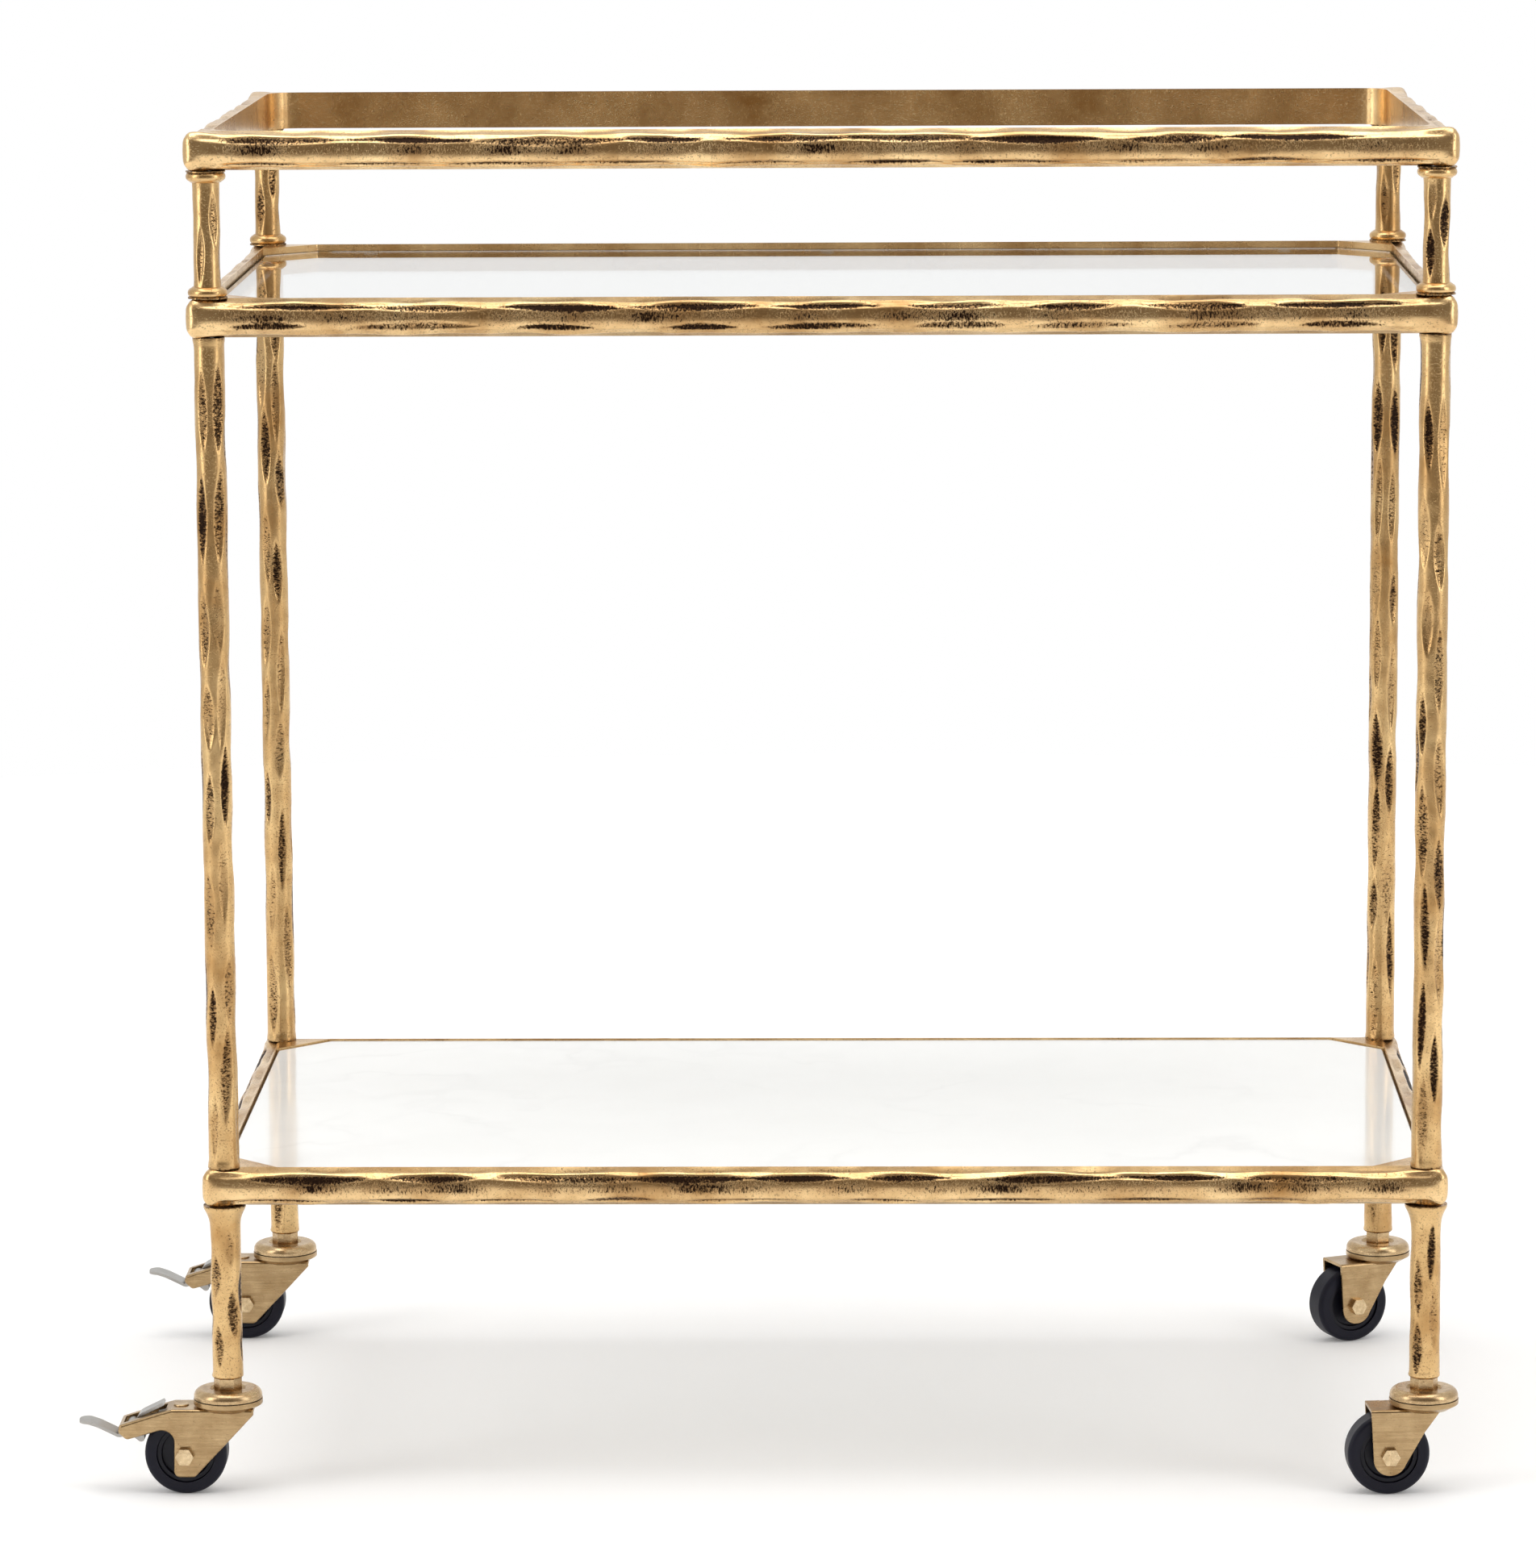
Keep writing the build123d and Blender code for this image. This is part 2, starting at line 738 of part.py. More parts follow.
for corner in corners:
    place = stem_plane(corner)
    finish(make_stem(place), f"caster_stem_{corner}")
    finish(make_cup(place), f"caster_cup_{corner}")
    finish(make_balls(place), f"caster_balls_{corner}")
    if corner in braked:
        trail = brake_trail
        cuts = make_brake_cuts(place, trail)
        fork = make_fork(place, trail, brake_fork_outline, brake_fork_hollow, cuts)
        finish(make_brake_pedal(place, trail), f"brake_pedal_{corner}")
        finish(make_brake_pin(place, trail), f"brake_pin_{corner}")
        finish(make_brake_spring(place, trail), f"brake_spring_{corner}")
        finish(make_brake_rivet(place, trail), f"brake_rivet_{corner}")
    else:
        trail = plain_trail
        fork = make_fork(place, trail, plain_fork_outline, plain_fork_hollow)
    finish(fork, f"caster_fork_{corner}")
    finish(make_axle(place, trail), f"caster_axle_{corner}")
    finish(make_hub(place, trail), f"wheel_hub_{corner}")
    finish(make_tyre(place, trail), f"tyre_{corner}")
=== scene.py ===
# %% [markdown]
# # A bar cart in hammered antique brass
#
# The real cart is three cast rings of hammered metal held apart by round posts and legs, with a
# glass shelf above, a marble shelf below and four swivel casters, two of them with foot brakes.
# The working model gives every size and every joint.  This lesson dresses it: the hammered parts
# are modelled again with real hammer marks, the casters get soft edges, and every piece gets a
# finish that is worked out by shader nodes.

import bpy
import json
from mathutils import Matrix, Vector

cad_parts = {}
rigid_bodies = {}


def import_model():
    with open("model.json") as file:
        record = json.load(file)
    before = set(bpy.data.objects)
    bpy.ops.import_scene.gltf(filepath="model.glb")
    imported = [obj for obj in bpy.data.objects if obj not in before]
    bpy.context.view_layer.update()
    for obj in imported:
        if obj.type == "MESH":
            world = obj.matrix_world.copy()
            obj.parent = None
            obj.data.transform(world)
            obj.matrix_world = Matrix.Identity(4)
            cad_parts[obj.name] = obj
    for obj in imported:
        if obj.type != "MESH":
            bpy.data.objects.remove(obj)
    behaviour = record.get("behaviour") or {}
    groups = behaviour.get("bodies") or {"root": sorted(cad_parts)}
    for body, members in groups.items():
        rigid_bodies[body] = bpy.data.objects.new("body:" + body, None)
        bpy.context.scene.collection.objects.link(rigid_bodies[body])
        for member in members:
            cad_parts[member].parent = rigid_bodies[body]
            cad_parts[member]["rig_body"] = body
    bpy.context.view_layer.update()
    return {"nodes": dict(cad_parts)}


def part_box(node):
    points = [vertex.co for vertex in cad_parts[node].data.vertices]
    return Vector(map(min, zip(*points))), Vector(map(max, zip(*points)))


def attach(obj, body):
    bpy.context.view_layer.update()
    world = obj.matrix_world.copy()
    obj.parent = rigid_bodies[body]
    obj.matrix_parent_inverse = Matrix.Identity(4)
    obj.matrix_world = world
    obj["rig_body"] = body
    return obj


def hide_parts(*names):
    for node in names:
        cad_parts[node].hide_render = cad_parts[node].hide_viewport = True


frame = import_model()
nodes = frame["nodes"]

# %% Modules, units and the four corners
import json
import math
import random

import bpy
import numpy as np
from mathutils import Matrix, Vector

MM = 0.001
TOUCH = 0.05 * MM
CORNERS = ("front_left", "front_right", "back_left", "back_right")
BRAKED = ("front_left", "back_left")
scene = bpy.context.scene


# %% [markdown]
# ## Small helpers for modelling by hand
#
# Operators act on whatever is selected, so each step first clears the selection, and then picks
# faces or edges by where they are and which way they point.

# %% Selection helpers
def deselect_all():
    for other in bpy.context.selected_objects:
        other.select_set(False)


def make_active(piece):
    deselect_all()
    piece.select_set(True)
    bpy.context.view_layer.objects.active = piece


def edit(piece):
    make_active(piece)
    bpy.ops.object.mode_set(mode="EDIT")
    bpy.ops.mesh.select_all(action="DESELECT")


def leave_edit():
    bpy.ops.object.mode_set(mode="OBJECT")


def pick(piece, kind, test):
    """In edit mode, selects the edges or faces that pass a test, and nothing else.

    The test of an edge is given its two ends, and that of a face its centre and its normal.
    """
    bpy.ops.mesh.select_all(action="DESELECT")
    bpy.ops.mesh.select_mode(type=kind)
    bpy.ops.object.mode_set(mode="OBJECT")
    mesh = piece.data
    points = mesh.vertices
    if kind == "EDGE":
        for edge in mesh.edges:
            edge.select = test(points[edge.vertices[0]].co, points[edge.vertices[1]].co)
    else:
        for face in mesh.polygons:
            face.select = test(face.center, face.normal)
    bpy.ops.object.mode_set(mode="EDIT")


def place_in_mesh(piece):
    """Puts the object at the origin, unturned and unscaled, with its place in its mesh."""
    make_active(piece)
    bpy.ops.object.transform_apply(location=True, rotation=True, scale=True)


def smooth(piece, degrees):
    """Smooth shading, with a hard edge wherever two faces meet at more than an angle."""
    make_active(piece)
    bpy.ops.object.shade_smooth_by_angle(angle=math.radians(degrees))


def dress(piece, name, body, material, slot, *stands_for):
    """Names a finished piece, gives it its finish, and lets it ride on its body.  The slot is not used.
    """
    piece.name = name
    piece.data.name = name
    piece.data.materials.clear()
    piece.data.materials.append(material)
    if stands_for:
        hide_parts(*stands_for)
    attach(piece, body)
    return piece


# %% [markdown]
# ## Hammer marks
#
# The smith's cross-peen leaves long almond-shaped scoops.  They lie along the bar in two rows that
# overlap like brickwork.  Each mark is a place, a length, a width, a depth, a slight turn and a
# stain.  The depth falls away smoothly from the middle line to the pointed ends, and where marks
# meet the deeper one wins.  The stain follows the same bowl and is stored on the mesh as an
# attribute called patina, so that the finish darkens exactly what the hammer has sunk.

# %% Depth of the marks at a set of points
def hammer_depth(along, across, marks, period=None):
    """Depth and patina of all marks, at points given by their distances along and across.

    With a period the surface closes on itself across that distance, as round a bar.
    """
    depth = np.zeros(len(along))
    patina = np.zeros(len(along))
    for at_along, at_across, length, width, deep, turn, stain in marks:
        step = along - at_along
        side = across - at_across
        if period:
            side = (side + period / 2) % period - period / 2
        near = (np.abs(step) < length) & (np.abs(side) < width * 2)
        u = (step[near] + turn * side[near]) / (length / 2)
        v = (side[near] - turn * step[near]) / (width / 2)
        almond = np.clip(1 - u * u, 0, 1)
        bowl = np.clip(1 - (v / np.maximum(almond, 0.05)) ** 2, 0, 1) * almond ** 0.5
        bowl = bowl * bowl * (3 - 2 * bowl)
        depth[near] = np.maximum(depth[near], deep * bowl)
        patina[near] = np.maximum(patina[near], stain * bowl ** 0.5)
    return depth, patina


def store_patina(piece, values):
    attribute = piece.data.attributes.new("patina", "FLOAT", "POINT")
    attribute.data.foreach_set("value", values.astype(np.float32))


def read_points(piece):
    points = np.empty(len(piece.data.vertices) * 3)
    piece.data.vertices.foreach_get("co", points)
    return points.reshape(-1, 3)


def write_points(piece, points):
    piece.data.vertices.foreach_set("co", points.ravel())
    piece.data.update()


print("hammer ready")

# %% [markdown]
# ## Finishes
#
# Effects that several finishes share are node groups: a slow drift between two tones, a fine
# grain, a brushed grain along one direction, and the patina that gathers in sunk places.  A group
# only gives colours, masks and heights.  The shader itself stays in each material, with its
# constant values set on its own sockets.

# %% Building blocks for node groups
def start_group(name, inputs, outputs):
    group = bpy.data.node_groups.new(name, "ShaderNodeTree")
    for label, kind, value in inputs:
        socket = group.interface.new_socket(label, in_out="INPUT", socket_type=kind)
        socket.default_value = value
    for label, kind in outputs:
        group.interface.new_socket(label, in_out="OUTPUT", socket_type=kind)
    return group, group.nodes.new("NodeGroupInput"), group.nodes.new("NodeGroupOutput")


def add_node(tree, kind, values=(), **settings):
    """A new node with its settings and the default values of some inputs."""
    node = tree.nodes.new(kind)
    for name, value in settings.items():
        setattr(node, name, value)
    for name, value in dict(values).items():
        node.inputs[name].default_value = value
    return node


def maths(tree, operation, first, second=None, third=None, clamp=False):
    """One sum on numbers or sockets.  MULTIPLY_ADD gives first times second plus third."""
    node = add_node(tree, "ShaderNodeMath", operation=operation, use_clamp=clamp)
    for socket, value in zip(node.inputs, (first, second, third)):
        if value is None:
            continue
        if isinstance(value, (int, float)):
            socket.default_value = value
        else:
            tree.links.new(value, socket)
    return node.outputs[0]


def blend_colours(tree, share, first, second):
    node = add_node(tree, "ShaderNodeMix", data_type="RGBA")
    for name, value in (("Factor", share), ("A", first), ("B", second)):
        socket = [s for s in node.inputs if s.name == name and s.enabled][0]
        if isinstance(value, (int, float, tuple)):
            socket.default_value = value
        else:
            tree.links.new(value, socket)
    return [s for s in node.outputs if s.enabled][0]


print("node helpers ready")

# %% Group: slow drift between two tones
COLOUR = "NodeSocketColor"
FLOAT = "NodeSocketFloat"
VECTOR = "NodeSocketVector"


def build_drift():
    inputs = [("Tone A", COLOUR, (0.5, 0.5, 0.5, 1)), ("Tone B", COLOUR, (0.6, 0.6, 0.6, 1)),
              ("Scale", FLOAT, 20.0), ("Contrast", FLOAT, 2.0)]
    outputs = [("Color", COLOUR), ("Mask", FLOAT)]
    group, start, end = start_group("Slow drift", inputs, outputs)
    place = add_node(group, "ShaderNodeTexCoord")
    cloud = add_node(group, "ShaderNodeTexNoise", {"Detail": 4.0, "Roughness": 0.6})
    group.links.new(place.outputs["Object"], cloud.inputs["Vector"])
    group.links.new(start.outputs["Scale"], cloud.inputs["Scale"])
    centred = maths(group, "SUBTRACT", cloud.outputs["Fac"], 0.5)
    spread = maths(group, "MULTIPLY_ADD", centred, start.outputs["Contrast"], 0.5, clamp=True)
    tone = blend_colours(group, spread, start.outputs["Tone A"], start.outputs["Tone B"])
    group.links.new(tone, end.inputs["Color"])
    group.links.new(spread, end.inputs["Mask"])
    return group


DRIFT = build_drift()
print("group", DRIFT.name)

# %% Group: fine grain and pits
def build_grain():
    inputs = [("Scale", FLOAT, 900.0), ("Coverage", FLOAT, 0.4), ("Sharpness", FLOAT, 8.0)]
    outputs = [("Mask", FLOAT), ("Height", FLOAT)]
    group, start, end = start_group("Fine grain", inputs, outputs)
    place = add_node(group, "ShaderNodeTexCoord")
    noise = add_node(group, "ShaderNodeTexNoise", {"Detail": 3.0, "Roughness": 0.65})
    group.links.new(place.outputs["Object"], noise.inputs["Vector"])
    group.links.new(start.outputs["Scale"], noise.inputs["Scale"])
    level = maths(group, "SUBTRACT", start.outputs["Coverage"], noise.outputs["Fac"])
    sharp = maths(group, "MULTIPLY_ADD", level, start.outputs["Sharpness"], 0.5, clamp=True)
    sunk = maths(group, "SUBTRACT", 1.0, sharp)
    group.links.new(sharp, end.inputs["Mask"])
    group.links.new(sunk, end.inputs["Height"])
    return group


GRAIN = build_grain()
print("group", GRAIN.name)

# %% Group: brushed grain, stretched along one direction
def build_brushed():
    inputs = [("Stretch", VECTOR, (40.0, 40.0, 1600.0)), ("Contrast", FLOAT, 1.6)]
    outputs = [("Mask", FLOAT)]
    group, start, end = start_group("Brushed grain", inputs, outputs)
    place = add_node(group, "ShaderNodeTexCoord")
    stretch = add_node(group, "ShaderNodeVectorMath", operation="MULTIPLY")
    group.links.new(place.outputs["Object"], stretch.inputs[0])
    group.links.new(start.outputs["Stretch"], stretch.inputs[1])
    lines = add_node(group, "ShaderNodeTexNoise", {"Scale": 1.0, "Detail": 4.0, "Roughness": 0.6})
    group.links.new(stretch.outputs[0], lines.inputs["Vector"])
    centred = maths(group, "SUBTRACT", lines.outputs["Fac"], 0.5)
    spread = maths(group, "MULTIPLY_ADD", centred, start.outputs["Contrast"], 0.5, clamp=True)
    group.links.new(spread, end.inputs["Mask"])
    return group


BRUSHED = build_brushed()
print("group", BRUSHED.name)

# %% Group: patina in the hammer marks
#
# Inside a mark the dark comes as short broken grains, thickest in the deepest part, over a
# brown stain that fades out to the rim.  Wide patches vary how dark a whole mark is.
# On the rings the Recess input also carries the painted dark band, so these grains and this brown also
# draw that painted reflection.
DARK_REACH = 0.32
DARK_START = 0.285
DARK_CRISPNESS = 9.0
STAIN_REACH = 0.85
PALEST_PATCH = 0.45


def build_patina():
    inputs = [("Recess", FLOAT, 0.0), ("Metal", COLOUR, (0.8, 0.6, 0.3, 1)),
              ("Stain", COLOUR, (0.3, 0.2, 0.1, 1)), ("Dark", COLOUR, (0.03, 0.02, 0.015, 1)),
              ("Stretch", VECTOR, (500.0, 500.0, 900.0))]
    outputs = [("Color", COLOUR), ("Mask", FLOAT), ("Height", FLOAT)]
    group, start, end = start_group("Hammered patina", inputs, outputs)
    place = add_node(group, "ShaderNodeTexCoord")
    stretch = add_node(group, "ShaderNodeVectorMath", operation="MULTIPLY")
    group.links.new(place.outputs["Object"], stretch.inputs[0])
    group.links.new(start.outputs["Stretch"], stretch.inputs[1])
    grain = add_node(group, "ShaderNodeTexNoise", {"Scale": 1.0, "Detail": 5.0, "Roughness": 0.7})
    group.links.new(stretch.outputs[0], grain.inputs["Vector"])
    patches = add_node(group, "ShaderNodeTexNoise", {"Scale": 55.0, "Detail": 3.0})
    group.links.new(place.outputs["Object"], patches.inputs["Vector"])
    patch = maths(group, "ADD", patches.outputs["Fac"], PALEST_PATCH)
    deep = maths(group, "MULTIPLY", start.outputs["Recess"], patch)
    reach = maths(group, "MULTIPLY_ADD", deep, DARK_REACH, DARK_START)
    level = maths(group, "SUBTRACT", reach, grain.outputs["Fac"])
    dark = maths(group, "MULTIPLY_ADD", level, DARK_CRISPNESS, 0.5, clamp=True)
    stain = maths(group, "MULTIPLY", deep, STAIN_REACH, clamp=True)
    stained = blend_colours(group, stain, start.outputs["Metal"], start.outputs["Stain"])
    colour = blend_colours(group, dark, stained, start.outputs["Dark"])
    group.links.new(colour, end.inputs["Color"])
    group.links.new(dark, end.inputs["Mask"])
    group.links.new(maths(group, "SUBTRACT", 1.0, dark), end.inputs["Height"])
    return group


PATINA = build_patina()
print("group", PATINA.name)


# %% A material with its shader, and a group placed in it
def start_material(name, **values):
    material = bpy.data.materials.new(name)
    material.use_nodes = True
    shader = material.node_tree.nodes["Principled BSDF"]
    for label, value in values.items():
        shader.inputs[label.replace("_", " ")].default_value = value
    return material, material.node_tree, shader


def place_group(tree, group, **values):
    node = tree.nodes.new("ShaderNodeGroup")
    node.node_tree = group
    for label, value in values.items():
        node.inputs[label.replace("_", " ")].default_value = value
    return node


def map_range(tree, value, low, high):
    """A 0 to 1 mask turned into a value between low and high."""
    return maths(tree, "MULTIPLY_ADD", value, high - low, low)


def bump(tree, shader, height, distance, strength, under=None):
    """Feeds the shader a bumped normal, on top of the one called under if there is one."""
    node = add_node(tree, "ShaderNodeBump", {"Strength": strength, "Distance": distance})
    tree.links.new(height, node.inputs["Height"])
    if under is not None:
        tree.links.new(under, node.inputs["Normal"])
    tree.links.new(node.outputs["Normal"], shader.inputs["Normal"])
    return node.outputs["Normal"]


# %% [markdown]
# ### Antique brass
#
# Cast metal plated with brass, darkened all over and then rubbed bright on the high places.  Two
# gold tones drift into each other, fine pits speckle the skin, and the patina group follows the
# hammer marks stored on the mesh.

# %% Antique brass for the hammered rings, posts and legs
# The rails and the legs are one metal.  As painted light, the rails get a lighter gold for the overhead
# light they catch, and the legs a darker one.
PAINTED_LIGHTER_RAIL_GOLD = (0.97, 0.71, 0.375, 1)
PAINTED_DARKER_LEG_GOLD = (0.83, 0.585, 0.285, 1)
WARM_GOLD = (0.44, 0.235, 0.080, 1)
# The stain brown and the black colour the patina in the marks, and on the rings also the painted dark
# band.
STAIN_AND_PAINTED_BAND_BROWN = (0.21, 0.098, 0.033, 1)
PATINA_AND_PAINTED_BAND_BLACK = (0.020, 0.010, 0.006, 1)
PIT_BROWN = (0.12, 0.07, 0.03, 1)


def antique_brass(name, gold, stretch):
    material, tree, shader = start_material(name, Metallic=1.0, Roughness=0.36)
    drift = place_group(tree, DRIFT, Tone_A=gold, Tone_B=WARM_GOLD, Scale=26.0, Contrast=2.0)
    # The patina attribute holds the marks' patina, and on the rings also the painted dark band.
    stored = add_node(tree, "ShaderNodeAttribute", attribute_name="patina")
    patina = place_group(tree, PATINA, Stain=STAIN_AND_PAINTED_BAND_BROWN, Dark=PATINA_AND_PAINTED_BAND_BLACK, Stretch=stretch)
    tree.links.new(stored.outputs["Fac"], patina.inputs["Recess"])
    tree.links.new(drift.outputs["Color"], patina.inputs["Metal"])
    pits = place_group(tree, GRAIN, Scale=800.0, Coverage=0.37, Sharpness=9.0)
    pitted = blend_colours(tree, maths(tree, "MULTIPLY", pits.outputs["Mask"], 0.55),
                           patina.outputs["Color"], PIT_BROWN)
    tree.links.new(pitted, shader.inputs["Base Color"])
    rough = maths(tree, "ADD", map_range(tree, patina.outputs["Mask"], 0.21, 0.55),
                  map_range(tree, drift.outputs["Mask"], 0.0, 0.10))
    tree.links.new(rough, shader.inputs["Roughness"])
    first = bump(tree, shader, pits.outputs["Height"], 0.12 * MM, 0.5)
    bump(tree, shader, patina.outputs["Height"], 0.35 * MM, 0.9, first)
    return material


# Two copies of one brass: painted lighter for the rails, painted darker for the legs.
RAIL_BRASS = antique_brass("Antique brass, rails, painted lighter", PAINTED_LIGHTER_RAIL_GOLD, (950.0, 950.0, 420.0))
LEG_BRASS = antique_brass("Antique brass, legs, painted darker", PAINTED_DARKER_LEG_GOLD, (480.0, 480.0, 900.0))
print("finishes", RAIL_BRASS.name, "and", LEG_BRASS.name)

# %% Satin brass for the casters, brushed level
LINE_BROWN = (0.30, 0.19, 0.09, 1)
SPECK_BROWN = (0.10, 0.05, 0.02, 1)


def satin_brass(name, light, deep, stretch):
    material, tree, shader = start_material(name, Metallic=1.0, Roughness=0.28)
    drift = place_group(tree, DRIFT, Tone_A=light, Tone_B=deep, Scale=70.0, Contrast=2.2)
    lines = place_group(tree, BRUSHED, Stretch=stretch, Contrast=2.0)
    lined = blend_colours(tree, map_range(tree, lines.outputs["Mask"], 0.0, 0.55),
                          drift.outputs["Color"], LINE_BROWN)
    specks = place_group(tree, GRAIN, Scale=700.0, Coverage=0.31, Sharpness=10.0)
    speckled = blend_colours(tree, maths(tree, "MULTIPLY", specks.outputs["Mask"], 0.5),
                             lined, SPECK_BROWN)
    tree.links.new(speckled, shader.inputs["Base Color"])
    rough = map_range(tree, lines.outputs["Mask"], 0.20, 0.36)
    tree.links.new(rough, shader.inputs["Roughness"])
    first = bump(tree, shader, lines.outputs["Mask"], 0.04 * MM, 0.5)
    bump(tree, shader, specks.outputs["Height"], 0.1 * MM, 0.4, first)
    return material


FORK_BRASS = satin_brass("Satin brass, forks", (0.60, 0.43, 0.235, 1), (0.38, 0.25, 0.12, 1),
                         (45.0, 45.0, 1100.0))
CUP_BRASS = satin_brass("Satin brass, cups", (0.80, 0.60, 0.35, 1), (0.46, 0.30, 0.15, 1),
                        (300.0, 300.0, 900.0))
BOLT_BRASS = satin_brass("Satin brass, bolts", (0.97, 0.78, 0.50, 1), (0.66, 0.48, 0.27, 1),
                         (300.0, 900.0, 300.0))
print("finishes", FORK_BRASS.name, "and", CUP_BRASS.name, "and", BOLT_BRASS.name)

# %% Steel for the pedals and the hidden screws
def steel(name, light, deep, roughness):
    material, tree, shader = start_material(name, Metallic=1.0, Roughness=roughness)
    drift = place_group(tree, DRIFT, Tone_A=light, Tone_B=deep, Scale=90.0, Contrast=1.8)
    tree.links.new(drift.outputs["Color"], shader.inputs["Base Color"])
    lines = place_group(tree, BRUSHED, Stretch=(120.0, 2200.0, 120.0), Contrast=1.6)
    rough = map_range(tree, lines.outputs["Mask"], roughness - 0.07, roughness + 0.10)
    tree.links.new(rough, shader.inputs["Roughness"])
    bump(tree, shader, lines.outputs["Mask"], 0.03 * MM, 0.4)
    return material


PEDAL_STEEL = steel("Brushed steel, pedals", (0.46, 0.445, 0.42, 1), (0.36, 0.345, 0.32, 1), 0.30)
SCREW_STEEL = steel("Plain steel, screws", (0.50, 0.50, 0.50, 1), (0.40, 0.39, 0.38, 1), 0.40)
print("finishes", PEDAL_STEEL.name, "and", SCREW_STEEL.name)

# %% [markdown]
# ### Marble, glass and rubber
#
# The marble is polished and almost white.  Its faint grey veins are the thin places where a
# warped noise passes through its middle value, and a slow drift between two whites clouds it.

# %% White marble
VEIN_WARP = 0.30
VEIN_THINNESS = 26.0
VEIN_GREY = (0.50, 0.50, 0.50, 1)
SPECK_GREY = (0.45, 0.45, 0.45, 1)


def marble():
    material, tree, shader = start_material("White marble", Roughness=0.13, IOR=1.5,
                                            Coat_Weight=0.25, Coat_Roughness=0.05)
    place = add_node(tree, "ShaderNodeTexCoord")
    warp = add_node(tree, "ShaderNodeTexNoise", {"Scale": 3.2, "Detail": 5.0, "Roughness": 0.55})
    tree.links.new(place.outputs["Object"], warp.inputs["Vector"])
    pull = add_node(tree, "ShaderNodeVectorMath", operation="MULTIPLY_ADD")
    tree.links.new(warp.outputs["Color"], pull.inputs[0])
    pull.inputs[1].default_value = (VEIN_WARP, VEIN_WARP, VEIN_WARP)
    tree.links.new(place.outputs["Object"], pull.inputs[2])
    field = add_node(tree, "ShaderNodeTexNoise", {"Scale": 5.0, "Detail": 3.0, "Roughness": 0.5})
    tree.links.new(pull.outputs[0], field.inputs["Vector"])
    away = maths(tree, "ABSOLUTE", maths(tree, "SUBTRACT", field.outputs["Fac"], 0.5))
    vein = maths(tree, "SUBTRACT", 1.0, maths(tree, "MULTIPLY", away, VEIN_THINNESS, clamp=True))
    thin = maths(tree, "POWER", vein, 2.0)
    broken = place_group(tree, DRIFT, Tone_A=(0, 0, 0, 1), Tone_B=(1, 1, 1, 1), Scale=7.0, Contrast=5.0)
    veins = maths(tree, "MULTIPLY", thin, map_range(tree, broken.outputs["Mask"], 0.01, 0.12))
    clouds = place_group(tree, DRIFT, Tone_A=(0.925, 0.93, 0.91, 1), Tone_B=(0.96, 0.965, 0.95, 1),
                         Scale=6.0, Contrast=2.5)
    veined = blend_colours(tree, veins, clouds.outputs["Color"], VEIN_GREY)
    specks = place_group(tree, GRAIN, Scale=420.0, Coverage=0.27, Sharpness=14.0)
    speckled = blend_colours(tree, maths(tree, "MULTIPLY", specks.outputs["Mask"], 0.22),
                             veined, SPECK_GREY)
    tree.links.new(speckled, shader.inputs["Base Color"])
    tree.links.new(map_range(tree, broken.outputs["Mask"], 0.10, 0.17), shader.inputs["Roughness"])
    return material


MARBLE = marble()
print("finish", MARBLE.name)

# %% Clear glass, faintly green in its thickness
def clear_glass():
    material, tree, shader = start_material("Clear glass", Roughness=0.0, IOR=1.5,
                                            Transmission_Weight=1.0, Metallic=0.0)
    drift = place_group(tree, DRIFT, Tone_A=(0.955, 0.975, 0.965, 1), Tone_B=(0.970, 0.985, 0.978, 1),
                        Scale=4.0, Contrast=1.5)
    tree.links.new(drift.outputs["Color"], shader.inputs["Base Color"])
    smears = place_group(tree, GRAIN, Scale=14.0, Coverage=0.45, Sharpness=1.5)
    tree.links.new(map_range(tree, smears.outputs["Mask"], 0.0, 0.018), shader.inputs["Roughness"])
    return material


GLASS = clear_glass()
print("finish", GLASS.name)

# %% Black tyre, black hub and clear bumpers
DUST = (0.02, 0.02, 0.03, 1)


def rubber(name, tone, other, roughness, scale):
    material, tree, shader = start_material(name, Roughness=roughness, IOR=1.33)
    drift = place_group(tree, DRIFT, Tone_A=tone, Tone_B=other, Scale=60.0, Contrast=2.0)
    specks = place_group(tree, GRAIN, Scale=scale, Coverage=0.33, Sharpness=8.0)
    dusted = blend_colours(tree, maths(tree, "MULTIPLY", specks.outputs["Mask"], 0.2),
                           drift.outputs["Color"], DUST)
    tree.links.new(dusted, shader.inputs["Base Color"])
    rough = map_range(tree, drift.outputs["Mask"], roughness - 0.06, roughness + 0.10)
    tree.links.new(rough, shader.inputs["Roughness"])
    bump(tree, shader, specks.outputs["Height"], 0.06 * MM, 0.35)
    return material


TYRE_BLACK = rubber("Tyre rubber", (0.0035, 0.0035, 0.011, 1), (0.006, 0.006, 0.016, 1), 0.42, 1400.0)
HUB_BLACK = rubber("Hub nylon", (0.006, 0.006, 0.012, 1), (0.010, 0.010, 0.018, 1), 0.36, 1800.0)
BUMPER = rubber("Clear bumper", (0.62, 0.62, 0.60, 1), (0.70, 0.70, 0.68, 1), 0.35, 900.0)
print("finishes", TYRE_BLACK.name, HUB_BLACK.name, BUMPER.name)

# %% [markdown]
# ## The three hammered rings
#
# Each ring is cast in one piece, so it is modelled as one closed skin.  A ring has the same shape
# in all four corners, and only one corner is modelled: a block whose inner edge is bevelled, whose
# two cut faces are drawn out to the middle of the long and the short side, and whose outer edges
# are rounded.  Two mirrors make the whole ring.  A loop cut needs a window, so rows of bisect cuts
# give the bars the even grid that the hammer marks will be pressed into.

